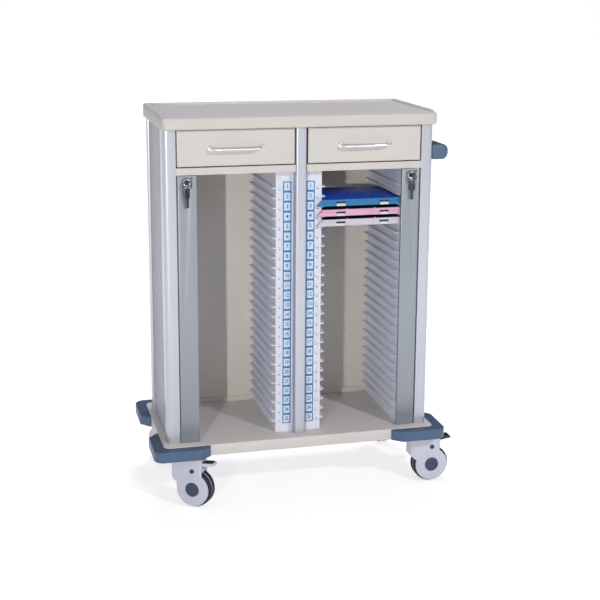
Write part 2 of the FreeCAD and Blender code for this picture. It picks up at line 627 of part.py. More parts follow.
def lock_case(side):
    """Barrel with its bezel, and the spare key on a ring round the key's shank."""
    face_y = POST_FRONT_Y - LOCK_BEZEL_HEIGHT
    bezel = lock_cylinder(LOCK_BEZEL_R, face_y, POST_FRONT_Y)
    bezel = bezel.makeFillet(LOCK_BEZEL_HEIGHT / 2, edges_at_y(bezel, face_y))
    barrel = bezel.fuse(lock_cylinder(LOCK_BARREL_R, POST_FRONT_Y, BAR_BACK_Y)).removeSplitter()
    barrel = barrel.cut(lock_cylinder(LOCK_PLUG_R + PIN_CLEARANCE, face_y, BAR_BACK_Y))
    ring_y = PLUG_FACE_Y - KEY_SHANK_LENGTH / 2
    ring_z = LOCK_Z + KEY_SHANK_WIDTH / 2 + KEY_RING_GAP + KEY_WIRE_R - KEY_RING_R
    ring = Part.makeTorus(KEY_RING_R, KEY_WIRE_R, V(LOCK_X, ring_y, ring_z), V(0, 1, 0))
    spare = spare_key()
    spare.rotate(V(0, 0, 0), UP, SPARE_KEY_TURN)
    spare.translate(V(LOCK_X, ring_y, ring_z - KEY_RING_R))
    return [on_side(piece, side) for piece in (barrel, ring, spare)]


def lock_key(side):
    """Plug with the cam behind the bar, and the key that stands in the plug."""
    cam_y = BAR_BACK_Y + CAM_GAP
    plug = lock_cylinder(LOCK_PLUG_R, PLUG_FACE_Y, cam_y + CAM_THICKNESS)
    cam = box(LOCK_X - CAM_LENGTH, cam_y, LOCK_Z - CAM_WIDTH / 2,
              LOCK_X, cam_y + CAM_THICKNESS, LOCK_Z + CAM_WIDTH / 2)
    plug = plug.fuse(cam).removeSplitter()
    half = KEY_THICKNESS / 2
    bow_y = PLUG_FACE_Y - KEY_SHANK_LENGTH - KEY_BOW_R
    shank = box(LOCK_X - half, bow_y, LOCK_Z - KEY_SHANK_WIDTH / 2,
                LOCK_X + half, PLUG_FACE_Y, LOCK_Z + KEY_SHANK_WIDTH / 2)
    bow = cylinder(KEY_BOW_R, V(LOCK_X - half, bow_y, LOCK_Z), V(LOCK_X + half, bow_y, LOCK_Z))
    hole_y = bow_y - KEY_BOW_R + 2 * KEY_HOLE_R
    hole = cylinder(KEY_HOLE_R, V(LOCK_X - half, hole_y, LOCK_Z), V(LOCK_X + half, hole_y, LOCK_Z))
    key = shank.fuse(bow).removeSplitter().cut(hole)
    return [on_side(plug, side), on_side(key, side)]


# ---------------------------------------------------------------- push handle and bumpers
def push_handle():
    """D-section bar along the right side, with an arm at each post."""
    half = PUSH_HEIGHT / 2
    middle = TOP_SURFACE - PUSH_CENTRE_BELOW_TOP
    low, high = middle - half, middle + half
    reach_y = ROD_Y + PUSH_ARM_WIDTH / 2
    outer_x = POST_OUTER_X + PUSH_REACH
    bar = box(POST_OUTER_X, -reach_y, low, outer_x - half, reach_y, high)
    nose = cylinder(half, V(outer_x - half, -reach_y, middle), V(outer_x - half, reach_y, middle))
    plan = box(POST_OUTER_X, -reach_y, low, outer_x, reach_y, high)
    plan = plan.makeFillet(PUSH_CORNER_R, upright_edges(plan, lambda x, y: x > outer_x - 1))
    gap_x = outer_x - PUSH_GRIP_WIDTH
    gap = box(POST_OUTER_X, PUSH_ARM_WIDTH - reach_y, low, gap_x, reach_y - PUSH_ARM_WIDTH, high)
    gap = gap.makeFillet(PUSH_GAP_CORNER_R, upright_edges(gap, lambda x, y: x > gap_x - 1))
    return bar.fuse(nose).removeSplitter().common(plan).cut(gap)


def bumper(side, face):
    """L-shaped guard round a corner of the base board, with tapered ends."""
    inner_x, inner_y = BASE_WIDTH / 2, BASE_DEPTH / 2
    outer_x, outer_y = inner_x + BUMPER_REACH, inner_y + BUMPER_REACH
    end_x, end_y = inner_x - BUMPER_ARM, inner_y - BUMPER_ARM
    blunt_x, blunt_y = inner_x + BUMPER_END_WIDTH, inner_y + BUMPER_END_WIDTH
    low, high = BASE_CLEARANCE, BASE_TOP - BUMPER_DROP
    inside = BASE_CORNER_R
    guard = prism([(end_x, inner_y - inside, low), (end_x, blunt_y, low),
                   (end_x + BUMPER_TAPER, outer_y, low), (outer_x, outer_y, low),
                   (outer_x, end_y + BUMPER_TAPER, low), (blunt_x, end_y, low),
                   (inner_x - inside, end_y, low), (inner_x - inside, inner_y - inside, low)],
                  V(0, 0, high - low))
    guard = guard.makeFillet(BUMPER_CORNER_R, upright_edges(
        guard, lambda x, y: x > outer_x - 1 and y > outer_y - 1))
    rims = [edge for height in (low, high) for edge in level_edges(guard, height)
            if all(v.Point.x > blunt_x - 1e-6 or v.Point.y > blunt_y - 1e-6 for v in edge.Vertexes)]
    guard = guard.makeFillet(BUMPER_EDGE_R, rims).cut(base_slab())
    guard = on_side(guard, side)
    return guard if face > 0 else mirrored_y(guard)


# ---------------------------------------------------------------- casters
def caster_places():
    """(name, x, y, turn about the upright swivel axis, has a pedal)."""
    return [("front_left", LEFT_CASTER_X, -CASTER_Y, FRONT_LEFT_TURN, True),
            ("front_right", RIGHT_CASTER_X, -CASTER_Y, FRONT_RIGHT_TURN, True),
            ("rear_left", LEFT_CASTER_X, CASTER_Y, REAR_LEFT_TURN, False),
            ("rear_right", RIGHT_CASTER_X, CASTER_Y, REAR_RIGHT_TURN, False)]


def placed(shape, x, y, turn):
    """A copy of a piece of the caster's own frame, turned and moved to its corner."""
    moved = shape.copy()
    moved.rotate(V(0, 0, 0), UP, turn)
    moved.translate(V(x, y, 0))
    return moved


def disc(r, half_width):
    """Cylinder about the wheel's axle."""
    return cylinder(r, V(TRAIL, -half_width, WHEEL_R), V(TRAIL, half_width, WHEEL_R))


def circles(shape):
    return [edge for edge in shape.Edges if len(edge.Vertexes) == 1]


def pedal_pin(r, half_length):
    return cylinder(r, V(PEDAL_PIVOT_X, -half_length, PEDAL_PIVOT_Z),
                    V(PEDAL_PIVOT_X, half_length, PEDAL_PIVOT_Z))


def caster_shell(has_pedal):
    """Hood over the wheel with a round cover on each side of it."""
    half = HOOD_HALF_WIDTH
    hood = prism([(-HOOD_FRONT, -half, HOOD_TOP), (HOOD_BACK, -half, HOOD_TOP),
                  (HOOD_BACK, -half, HOOD_TOP - HOOD_BACK_DROP), (TRAIL, -half, WHEEL_R),
                  (HOOD_CHIN - HOOD_FRONT, -half, HOOD_TOP - HOOD_FRONT_DROP - HOOD_CHIN),
                  (-HOOD_FRONT, -half, HOOD_TOP - HOOD_FRONT_DROP)], V(0, 2 * half, 0))
    hood = hood.makeFillet(HOOD_CORNER_R, upright_edges(hood, lambda x, y: True))
    shell = hood.fuse(disc(COVER_R, half)).removeSplitter()
    rivet_z = WHEEL_R + RIVET_ABOVE_AXLE
    rivet = cylinder(RIVET_R, V(TRAIL, -half - RIVET_PROUD, rivet_z), V(TRAIL, half + RIVET_PROUD, rivet_z))
    shell = shell.fuse(rivet).removeSplitter()
    shell = shell.cut(disc(WHEEL_R + HOOD_CLEARANCE, WHEEL_WIDTH / 2 + COVER_GAP))
    shell = shell.cut(disc(AXLE_R, half))
    shell = shell.cut(shaft(STEM_R + PIN_CLEARANCE, 0, 0, HOOD_TOP,
                            -(STEM_LENGTH - SWIVEL_GAP + STEM_END_GAP)))
    if has_pedal:
        slot_y = PEDAL_WIDTH / 2 + PEDAL_GAP
        shell = shell.cut(box(PEDAL_PIVOT_X - PEDAL_SLOT_BELOW, -slot_y, PEDAL_PIVOT_Z - PEDAL_SLOT_BELOW,
                              HOOD_BACK, slot_y, PEDAL_PIVOT_Z + PEDAL_SLOT_ABOVE))
        shell = shell.cut(pedal_pin(PEDAL_PIVOT_R + PIN_CLEARANCE, half - PEDAL_PIN_COVER + PEDAL_GAP))
    return shell


def caster_wheel():
    """Tyre on a solid core."""
    half = WHEEL_WIDTH / 2
    core_r = WHEEL_R - TREAD_THICKNESS
    tyre = disc(WHEEL_R, half)
    tyre = tyre.makeFillet(WHEEL_EDGE_R, circles(tyre)).cut(disc(core_r, half))
    core = disc(core_r - PIN_CLEARANCE, half).cut(disc(AXLE_R + PIN_CLEARANCE, half))
    return [tyre, core]


def caster_axle():
    """Axle with a cap on each cover."""
    axle = disc(AXLE_R, HOOD_HALF_WIDTH)
    for face in (-1, 1):
        y = face * HOOD_HALF_WIDTH
        outer_y = y + face * HUB_CAP_HEIGHT
        cap = cylinder(HUB_CAP_R, V(TRAIL, y, WHEEL_R), V(TRAIL, outer_y, WHEEL_R))
        axle = axle.fuse(cap.makeFillet(HUB_CAP_EDGE_R, edges_at_y(cap, outer_y)))
    return axle.removeSplitter()


def brake_pedal():
    """Foot lever with its pivot pin; its tip is pressed down."""
    half = PEDAL_WIDTH / 2
    x, z = PEDAL_PIVOT_X, PEDAL_PIVOT_Z
    tip_x = x + PEDAL_LENGTH
    tip_z = z + PEDAL_RISE
    arm = prism([(x, -half, z + PEDAL_ROOT_HEIGHT / 2), (tip_x - PEDAL_TIP_HEIGHT / 2, -half, tip_z),
                 (tip_x, -half, tip_z - PEDAL_TIP_HEIGHT / 2), (tip_x, -half, tip_z - PEDAL_TIP_HEIGHT),
                 (x, -half, z - PEDAL_ROOT_HEIGHT / 2)], V(0, PEDAL_WIDTH, 0))
    return arm.fuse([pedal_pin(PEDAL_BOSS_R, half),
                     pedal_pin(PEDAL_PIVOT_R, HOOD_HALF_WIDTH - PEDAL_PIN_COVER)]).removeSplitter()


def caster_plates():
    """Square plates under the base board with the stems that the hoods turn on."""
    plates = []
    low = BASE_CLEARANCE - CASTER_PLATE_THICKNESS
    half = CASTER_PLATE / 2
    for _, x, y, _, _ in caster_places():
        plate = box(x - half, y - half, low, x + half, y + half, BASE_CLEARANCE)
        plate = plate.makeFillet(CASTER_PLATE_CORNER_R, upright_edges(plate, lambda a, b: True))
        plates.append(plate.fuse(shaft(STEM_R, x, y, low, -STEM_LENGTH)).removeSplitter())
    return plates


# ---------------------------------------------------------------- chart folders
def chart_folder(slot):
    """Binder lying on the runners of one slot: its covers and pages go in between the
    columns, and the ends of its wider spine stay in front of the runners' lips."""
    x0, x1 = BAY_CENTRE_X - FOLDER_HALF_WIDTH, BAY_CENTRE_X + FOLDER_HALF_WIDTH
    y0, y1 = FOLDER_SPINE_BACK_Y, FOLDER_FRONT_Y + FOLDER_DEPTH
    z0 = runner_top(slot)
    z1 = z0 + FOLDER_THICKNESS
    spine = box(x0 - FOLDER_SPINE_OVERLAP, FOLDER_FRONT_Y, z0, x1 + FOLDER_SPINE_OVERLAP, y0, z1)
    ends = [edge for edge in level_edges(spine, z1)
            if abs(edge.CenterOfMass.x - BAY_CENTRE_X) > FOLDER_HALF_WIDTH]
    spine = spine.makeChamfer(FOLDER_SPINE_CHAMFER, ends)
    margin = box(x0, y0, z0 + FOLDER_COVER, x1, y1, z1 - FOLDER_COVER)
    pages = box(x0 + FOLDER_PAGE_INSET, y0, z0, x1 - FOLDER_PAGE_INSET, y1 - FOLDER_PAGE_INSET, z1)
    return spine.fuse(box(x0, y0, z0, x1, y1, z1).cut(margin.cut(pages))).removeSplitter()


def folder_clips():
    """Two spring clips on the spine of each folder, hooked over its top cover."""
    clips = []
    for slot in FOLDER_SLOTS.values():
        low = runner_top(slot) + FOLDER_COVER
        top = runner_top(slot) + FOLDER_THICKNESS
        for x in (BAY_CENTRE_X - CLIP_SPACING / 2, BAY_CENTRE_X + CLIP_SPACING / 2):
            x0, x1 = x - CLIP_WIDTH / 2, x + CLIP_WIDTH / 2
            face = box(x0, FOLDER_FRONT_Y - CLIP_THICKNESS, low, x1, FOLDER_FRONT_Y, top + CLIP_THICKNESS)
            hook = box(x0, FOLDER_FRONT_Y, top, x1, FOLDER_FRONT_Y + CLIP_TOP_REACH, top + CLIP_THICKNESS)
            clips.append(face.fuse(hook).removeSplitter())
    return clips


# ---------------------------------------------------------------- the trolley
def main():
    os.makedirs("parts", exist_ok=True)
    save("top_board", top_board())
    save("base_board", base_board())
    save("tie_rods", tie_rods())
    save("centre_post", centre_post())
    save("back_panel", back_panel())
    save("divider_panel", divider_panel())
    save("drawer_shelves", drawer_shelves())
    save("push_handle", push_handle())
    save("slot_runners", slot_runners())
    save("number_strips", [number_strip(outer_x, inward) for _, outer_x, inward in rack_sides()])
    save("drawer_outer_rails", outer_rails(-1) + outer_rails(1))
    save("lock_bar_pivots", lock_bar_pivots())
    save("caster_plates", caster_plates())
    save("folder_clips", folder_clips())
    for name, outer_x, inward in rack_sides():
        save("rack_column_" + name, rack_column(outer_x, inward))
    for name, side in (("left", -1), ("right", 1)):
        save("side_panel_" + name, side_panel(side))
        save("drawer_box_" + name, drawer_box(side))
        save("drawer_front_" + name, drawer_front(side))
        save("drawer_handle_" + name, drawer_handle(side))
        save("drawer_inner_rails_" + name, inner_rails(side))
        save("lock_bar_" + name, lock_bar(side))
        save("lock_case_" + name, lock_case(side))
        save("lock_key_" + name, lock_key(side))
        for row, face in (("front", -1), ("rear", 1)):
            save(row + "_post_" + name, corner_post(side, face))
            save("bumper_" + row + "_" + name, bumper(side, face))
    for name, x, y, turn, has_pedal in caster_places():
        save("caster_shell_" + name, placed(caster_shell(has_pedal), x, y, turn))
        save("caster_wheel_" + name, [placed(piece, x, y, turn) for piece in caster_wheel()])
        save("caster_axle_" + name, placed(caster_axle(), x, y, turn))
        if has_pedal:
            save("brake_pedal_" + name, placed(brake_pedal(), x, y, turn))
    for colour, slot in FOLDER_SLOTS.items():
        save("chart_folder_" + colour, chart_folder(slot))


main()
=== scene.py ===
import json
import math

import bmesh
import bpy
from bpy.props import FloatProperty, FloatVectorProperty, PointerProperty
from mathutils import Matrix, Vector


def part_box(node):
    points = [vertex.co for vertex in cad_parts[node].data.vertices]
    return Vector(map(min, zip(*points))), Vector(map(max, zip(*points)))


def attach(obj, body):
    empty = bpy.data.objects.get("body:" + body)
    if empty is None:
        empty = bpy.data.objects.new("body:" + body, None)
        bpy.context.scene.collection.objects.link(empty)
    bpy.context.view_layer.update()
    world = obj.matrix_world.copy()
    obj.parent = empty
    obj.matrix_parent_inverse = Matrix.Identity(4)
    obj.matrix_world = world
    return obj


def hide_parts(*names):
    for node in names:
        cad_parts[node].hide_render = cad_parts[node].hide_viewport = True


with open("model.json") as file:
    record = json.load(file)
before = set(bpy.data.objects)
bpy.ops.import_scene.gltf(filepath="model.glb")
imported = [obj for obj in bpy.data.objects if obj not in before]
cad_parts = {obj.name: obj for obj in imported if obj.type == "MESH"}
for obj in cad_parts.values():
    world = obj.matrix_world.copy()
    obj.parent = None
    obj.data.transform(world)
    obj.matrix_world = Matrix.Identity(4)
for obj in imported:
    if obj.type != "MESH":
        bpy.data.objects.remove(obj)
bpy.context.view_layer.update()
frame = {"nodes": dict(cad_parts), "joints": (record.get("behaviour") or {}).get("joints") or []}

bl_info = {
    "name": "Chart Rack",
    "version": (1, 0, 0),
    "blender": (4, 5, 0),
    "location": "3D View > Sidebar > Chart Rack",
    "description": "Builds the detailed pieces of a medical chart rack on its fixed frame",
    "category": "Object",
}

MM = 0.001
SLOTS = 25
SIDES = ("left", "right")
COLUMNS = ("left_outer", "left_inner", "right_inner", "right_outer")
CORNERS = ("front_left", "front_right", "rear_left", "rear_right")
FOLDERS = ("blue", "pink", "white")


def joint(name):
    return next(j for j in frame["joints"] if j["name"] == name)


# Places that several pieces share, from the frame
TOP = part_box("top_board")
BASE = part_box("base_board")
MIDDLE_X = (TOP[0].x + TOP[1].x) / 2
RIM_HEIGHT = 6 * MM
RIM_WIDTH = 11 * MM
RIM_FADE = 40 * MM
SLAB_TOP = TOP[1].z - RIM_HEIGHT
SLAB_FOOT_EDGE = 5 * MM
BOARD_CORNER = 16 * MM
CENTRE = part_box("centre_post")
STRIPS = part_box("number_strips")
STRIP_WIDTH = 22 * MM
STRIP_MARGIN = 5 * MM
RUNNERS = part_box("slot_runners")
RUNNER_THICK = 3 * MM
RUNNER_EDGE = 0.9 * MM
LIP_START = 28 * MM
LIP_DEPTH = 3 * MM
LIP_CORNER = 1.5 * MM
ARM_REACH = 11.5 * MM
ARM_CORNER = 10 * MM
PITCH = (RUNNERS[1].z - RUNNERS[0].z - RUNNER_THICK) / (SLOTS - 1)


# ---------------------------------------------------------------- what a user may change
def length(name, text, default, low, high):
    return FloatProperty(name=name, description=text, default=default * MM, min=low * MM, max=high * MM,
                         subtype="DISTANCE", unit="LENGTH")


class RACK_PG_sizes(bpy.types.PropertyGroup):
    """Small sizes that only the detailed pieces have."""
    board_edge: length("Board edge", "Radius of the moulded top board's upper edge", 4, 0.5, 5)
    rim_edge: length("Rim edge", "Radius of the inner edge of the top board's rim", 1.5, 0.3, 3)
    sheet_edge: length("Sheet edge", "Radius of folded sheet edges", 0.5, 0.1, 2)
    drawer_edge: length("Drawer edge", "Radius round the face of a drawer front", 3, 0.5, 6)
    label_margin: length("Label frame", "Width of the blue frame round a number card", 2.4, 1, 6)
    number_height: length("Number height", "Height of the slot numbers", 10, 5, 14)
    handle_bar: length("Handle bar", "Radius of the drawer handle's bar", 3.8, 3, 8)
    grip_edge: length("Grip edge", "Radius of the push handle's edges", 8, 1, 10)
    shell_edge: length("Housing edge", "Radius of the caster housing's edges", 1.2, 0.3, 3)


def linear(c):
    """An eight-bit sRGB value as linear light."""
    c /= 255
    return c / 12.92 if c <= 0.04045 else ((c + 0.055) / 1.055) ** 2.4


def colour(name, text, rgb):
    return FloatVectorProperty(name=name, description=text, subtype="COLOR", size=3, min=0, max=1,
                               default=[linear(c) for c in rgb])


class RACK_PG_colours(bpy.types.PropertyGroup):
    """Colours of the finishes."""
    beige: colour("Beige", "Moulded top board", (214, 210, 204))
    base: colour("Base beige", "Base board", (224, 219, 214))
    drawer: colour("Drawer beige", "Drawer fronts and the rail below", (216, 212, 206))
    # Painted shade: a dark colour for the drawer fronts' narrow sides, in place of the shadowed gaps round
    # the drawers.
    drawer_side: colour("Drawer side", "Narrow sides of the drawer fronts", (96, 92, 88))
    aluminium: colour("Aluminium", "Anodised posts", (187, 190, 199))
    side_grey: colour("Side grey", "Side panels", (156, 157, 167))
    back_beige: colour("Back beige", "Painted back panel", (226, 221, 209))
    white: colour("White", "Rack columns and runners", (230, 232, 243))
    blue_frame: colour("Label blue", "Frames of the number cards", (34, 128, 188))
    card: colour("Card", "Number cards", (216, 230, 248))
    ink: colour("Ink", "Slot numbers", (26, 74, 116))
    steel: colour("Brushed steel", "Lock bars", (150, 156, 164))
    guard: colour("Guard blue", "Corner bumpers", (80, 102, 132))
    grip: colour("Grip blue", "Push handle", (80, 106, 132))
    caster: colour("Caster grey", "Caster housings", (216, 218, 232))
    tyre: colour("Tyre", "Rubber tyres", (22, 22, 38))
    cap: colour("Cap grey", "Hub caps", (52, 66, 92))
    folder_blue: colour("Folder blue", "Blue folder's spine", (32, 122, 178))
    folder_pink: colour("Folder pink", "Pink folder's spine", (228, 176, 204))
    folder_white: colour("Folder white", "White folder's spine", (214, 206, 220))
    folder_cover: colour("Folder cover", "Navy folder covers", (28, 78, 202))


# ---------------------------------------------------------------- modelling helpers
DOUBLED = 0.00001
FLAT_TURN = 1.0
SHARP_TURN = 35


def start():
    """Object mode with nothing selected."""
    if bpy.context.object is not None and bpy.context.object.mode != "OBJECT":
        bpy.ops.object.mode_set(mode="OBJECT")
    bpy.ops.object.select_all(action="DESELECT")


def take(*objs):
    start()
    for o in objs:
        o.select_set(True)
    bpy.context.view_layer.objects.active = objs[0]
    return objs[0]


def settle(o):
    """The object's place goes into its mesh."""
    take(o)
    bpy.ops.object.transform_apply(location=True, rotation=True, scale=True)
    return o


def block(lo, hi):
    """Box between two corners, ready to be shaped."""
    lo, hi = Vector(lo), Vector(hi)
    start()
    bpy.ops.mesh.primitive_cube_add(size=1, location=(lo + hi) / 2)
    o = bpy.context.object
    o.scale = [abs(c) for c in hi - lo]
    return settle(o)


def edit_all(o):
    take(o)
    bpy.ops.object.mode_set(mode="EDIT")
    bpy.ops.mesh.select_mode(type="VERT")
    bpy.ops.mesh.select_all(action="SELECT")


def done(o):
    bpy.ops.object.mode_set(mode="OBJECT")
    return o


def outline(points):
    """A line of points, each drawn out from the one before; left in edit mode."""
    start()
    bpy.ops.mesh.primitive_plane_add(size=MM, location=(0, 0, 0))
    o = bpy.context.object
    edit_all(o)
    bpy.ops.mesh.merge(type="CENTER")
    bpy.ops.transform.translate(value=points[0])
    for before, after in zip(points, points[1:]):
        step = [b - a for a, b in zip(before, after)]
        bpy.ops.mesh.extrude_vertices_move(TRANSFORM_OT_translate={"value": step})
    bpy.ops.mesh.select_all(action="SELECT")
    return o


def turned(profile, centre, axis, steps=48):
    """Round piece: (radius, height) points in mm, spun about an axis through the centre."""
    o = outline([(r * MM, 0, h * MM) for r, h in profile])
    bpy.ops.mesh.spin(steps=steps, angle=2 * math.pi, center=(0, 0, 0), axis=(0, 0, 1))
    done(o)
    o.rotation_euler = Vector(axis).to_track_quat("Z", "Y").to_euler()
    o.location = centre
    return outward(settle(o))


def prism(points, move):
    """A closed outline drawn out along a line."""
    o = outline(points)
    bpy.ops.mesh.edge_face_add()
    bpy.ops.mesh.extrude_region_move(TRANSFORM_OT_translate={"value": move})
    done(o)
    return outward(o)


def choose(o, kind, test):
    """Edit mode with the faces, edges or points selected that pass the test."""
    take(o)
    bpy.ops.object.mode_set(mode="EDIT")
    bpy.ops.mesh.select_mode(type=kind)
    bpy.ops.mesh.select_all(action="DESELECT")
    mesh = bmesh.from_edit_mesh(o.data)
    mesh.normal_update()
    parts = {"FACE": mesh.faces, "EDGE": mesh.edges, "VERT": mesh.verts}[kind]
    hits = [part for part in parts if test(part)]
    if not hits:
        raise RuntimeError("nothing to select on " + o.name)
    for part in hits:
        part.select_set(True)
    bmesh.update_edit_mesh(o.data)


def near(a, b):
    return abs(a - b) < 1e-5


def along(edge, axis):
    """The edge runs along an axis."""
    d = edge.verts[1].co - edge.verts[0].co
    return abs(d[axis]) > 0.999 * d.length


def upright(edge):
    return along(edge, 2)


def mid(edge):
    return (edge.verts[0].co + edge.verts[1].co) / 2


def bevel(o, test, width, segments):
    """Rounds the edges that pass the test."""
    choose(o, "EDGE", test)
    bpy.ops.mesh.bevel(offset=width, segments=segments, profile=0.5, affect="EDGES", clamp_overlap=True)
    return done(o)


def inset(o, test, width, depth=0.0):
    choose(o, "FACE", test)
    bpy.ops.mesh.inset(thickness=width, depth=depth, use_boundary=True)
    return done(o)


def extrude(o, test, move):
    choose(o, "FACE", test)
    bpy.ops.mesh.extrude_region_move(TRANSFORM_OT_translate={"value": move})
    return done(o)


def shift(o, test, move):
    choose(o, "VERT", test)
    bpy.ops.transform.translate(value=move)
    return done(o)


def slice_at(o, place, normal, drop=False):
    """Cuts across the whole piece, and drops what lies beyond the cut if asked."""
    edit_all(o)
    bpy.ops.mesh.bisect(plane_co=place, plane_no=normal, clear_outer=drop, use_fill=drop)
    return done(o)


def apply_modifier(o, kind, **settings):
    take(o)
    m = o.modifiers.new(kind.lower(), kind)
    for key, value in settings.items():
        setattr(m, key, value)
    bpy.ops.object.modifier_apply(modifier=m.name)
    return o


def stacked(o, count, step):
    """Copies of the piece in a row, in one mesh."""
    return apply_modifier(o, "ARRAY", count=count, use_relative_offset=False, use_constant_offset=True,
                          constant_offset_displace=step)


def soften(o, width, segments):
    """Rounds every edge that turns by more than SHARP_TURN degrees."""
    return apply_modifier(o, "BEVEL", width=width, segments=segments, limit_method="ANGLE",
                          angle_limit=math.radians(SHARP_TURN), use_clamp_overlap=True)


def outward(o):
    """Merges doubled points and turns all faces outwards."""
    edit_all(o)
    bpy.ops.mesh.remove_doubles(threshold=DOUBLED)
    bpy.ops.mesh.normals_make_consistent(inside=False)
    return done(o)


def merged(o):
    """Doubled points merged and flat neighbours joined into one face."""
    edit_all(o)
    bpy.ops.mesh.remove_doubles(threshold=DOUBLED)
    bpy.ops.mesh.dissolve_limited(angle_limit=math.radians(FLAT_TURN))
    return done(o)


def refined(node, edge, segments=2):
    """The node's own shape as one clean mesh with its sharp edges rounded."""
    o = bpy.data.objects.new(node + "_shape", frame["nodes"][node].data.copy())
    bpy.context.scene.collection.objects.link(o)
    take(o)
    bpy.ops.mesh.customdata_custom_splitnormals_clear()
    merged(o)
    return soften(o, edge, segments)


def join(*objs):
    take(*objs)
    if len(objs) > 1:
        bpy.ops.object.join()
    return objs[0]


def coat(o, finish, test):
    """A second finish on the faces that pass the test."""
    if finish.name not in o.data.materials:
        o.data.materials.append(finish)
    choose(o, "FACE", test)
    o.active_material_index = o.data.materials.find(finish.name)
    bpy.ops.object.material_slot_assign()
    return done(o)


def finished(o, finish):
    o.data.materials.clear()
    o.data.materials.append(finish)
    return o


def piece(o, name, body, finish=None, replaces=(), angle=40):
    """Names a finished piece, smooths it and gives it its finish, body and slot."""
    take(o)
    bpy.ops.object.shade_smooth_by_angle(angle=math.radians(angle))
    o.name = name
    o.data.name = name
    if finish is not None:
        finished(o, finish)
    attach(o, body)
    if replaces:
        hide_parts(*replaces)
    return o


# ---------------------------------------------------------------- finishes
def tree(name):
    m = bpy.data.materials.new(name)
    m.use_nodes = True
    nodes, links = m.node_tree.nodes, m.node_tree.links
    return m, nodes, links, nodes["Principled BSDF"]


def noise(nodes, links, coords, scale, detail=3.0, stretch=(1, 1, 1), roughness=0.5):
    mapping = nodes.new("ShaderNodeMapping")
    mapping.inputs["Scale"].default_value = stretch
    links.new(coords, mapping.inputs["Vector"])
    tex = nodes.new("ShaderNodeTexNoise")
    tex.inputs["Scale"].default_value = scale
    tex.inputs["Detail"].default_value = detail
    tex.inputs["Roughness"].default_value = roughness
    links.new(mapping.outputs[0], tex.inputs["Vector"])
    return tex.outputs["Fac"]


def spread(nodes, links, value, low, high, start_at=0.3, end_at=0.7):
    """The value between two bounds becomes low to high."""
    node = nodes.new("ShaderNodeMapRange")
    node.inputs["From Min"].default_value = start_at
    node.inputs["From Max"].default_value = end_at
    node.inputs["To Min"].default_value = low
    node.inputs["To Max"].default_value = high
    links.new(value, node.inputs["Value"])
    return node.outputs[0]


def tinted(nodes, links, value, rgb, change):
    """The colour, darker by a share where the value is low."""
    ramp = nodes.new("ShaderNodeValToRGB")
    ramp.color_ramp.elements[0].position = 0.32
    ramp.color_ramp.elements[1].position = 0.68
    ramp.color_ramp.elements[0].color = [c * (1 - change) for c in rgb] + [1]
    ramp.color_ramp.elements[1].color = [min(1, c * (1 + change * 0.5)) for c in rgb] + [1]
    links.new(value, ramp.inputs[0])
    return ramp.outputs[0]


def scuffed(nodes, links, coords, base, rgb, amount):
    """Fine pale scratches and rubbed spots over a colour."""
    marks = noise(nodes, links, coords, 160, 5, (1, 1, 0.35), 0.75)
    share = spread(nodes, links, marks, 0, amount, 0.6, 0.72)
    mix = nodes.new("ShaderNodeMix")
    mix.data_type = "RGBA"
    links.new(share, mix.inputs["Factor"])
    links.new(base, mix.inputs["A"])
    mix.inputs["B"].default_value = [c * 0.5 + 0.4 for c in rgb] + [1]
    return mix.outputs["Result"]


def bump(nodes, links, value, distance, strength=0.5):
    node = nodes.new("ShaderNodeBump")
    node.inputs["Strength"].default_value = strength
    node.inputs["Distance"].default_value = distance
    links.new(value, node.inputs["Height"])
    return node.outputs[0]


def moulded(name, rgb, rough=0.5, grain=900.0, depth=0.00006, change=0.03, metal=0.0, scuffs=0.0):
    """Moulded plastic or paint: fine grain, faint mottling, uneven gloss, a few scuffs."""
    m, nodes, links, shader = tree(name)
    coords = nodes.new("ShaderNodeTexCoord").outputs["Object"]
    base = tinted(nodes, links, noise(nodes, links, coords, 9.0, 2), rgb, change)
    if scuffs:
        base = scuffed(nodes, links, coords, base, rgb, scuffs)
    links.new(base, shader.inputs["Base Color"])
    links.new(spread(nodes, links, noise(nodes, links, coords, 60.0, 3), rough - 0.05, rough + 0.07),
              shader.inputs["Roughness"])
    links.new(bump(nodes, links, noise(nodes, links, coords, grain, 2), depth), shader.inputs["Normal"])
    shader.inputs["Metallic"].default_value = metal
    return m


def brushed(name, rgb, rough=0.3, axis=2, metal=0.8, lines=700.0, depth=0.00003, change=0.06):
    """Metal with fine lines drawn along an axis."""
    m, nodes, links, shader = tree(name)
    coords = nodes.new("ShaderNodeTexCoord").outputs["Object"]
    stretch = [1.0, 1.0, 1.0]
    stretch[axis] = 0.012
    fine = noise(nodes, links, coords, lines, 4, stretch, 0.7)
    broad = noise(nodes, links, coords, 40.0, 3, stretch)
    links.new(tinted(nodes, links, fine, rgb, change), shader.inputs["Base Color"])
    links.new(spread(nodes, links, broad, rough - 0.06, rough + 0.08), shader.inputs["Roughness"])
    links.new(bump(nodes, links, fine, depth, 0.6), shader.inputs["Normal"])
    shader.inputs["Metallic"].default_value = metal
    return m


def paper(name, rgb):
    """Edges of a stack of sheets."""
    m, nodes, links, shader = tree(name)
    coords = nodes.new("ShaderNodeTexCoord").outputs["Object"]
    sheets = noise(nodes, links, coords, 1800, 2, (0.02, 0.02, 1))
    links.new(tinted(nodes, links, sheets, rgb, 0.25), shader.inputs["Base Color"])
    links.new(bump(nodes, links, sheets, 0.0001, 0.8), shader.inputs["Normal"])
    shader.inputs["Roughness"].default_value = 0.85
    return m


FINISH = {}


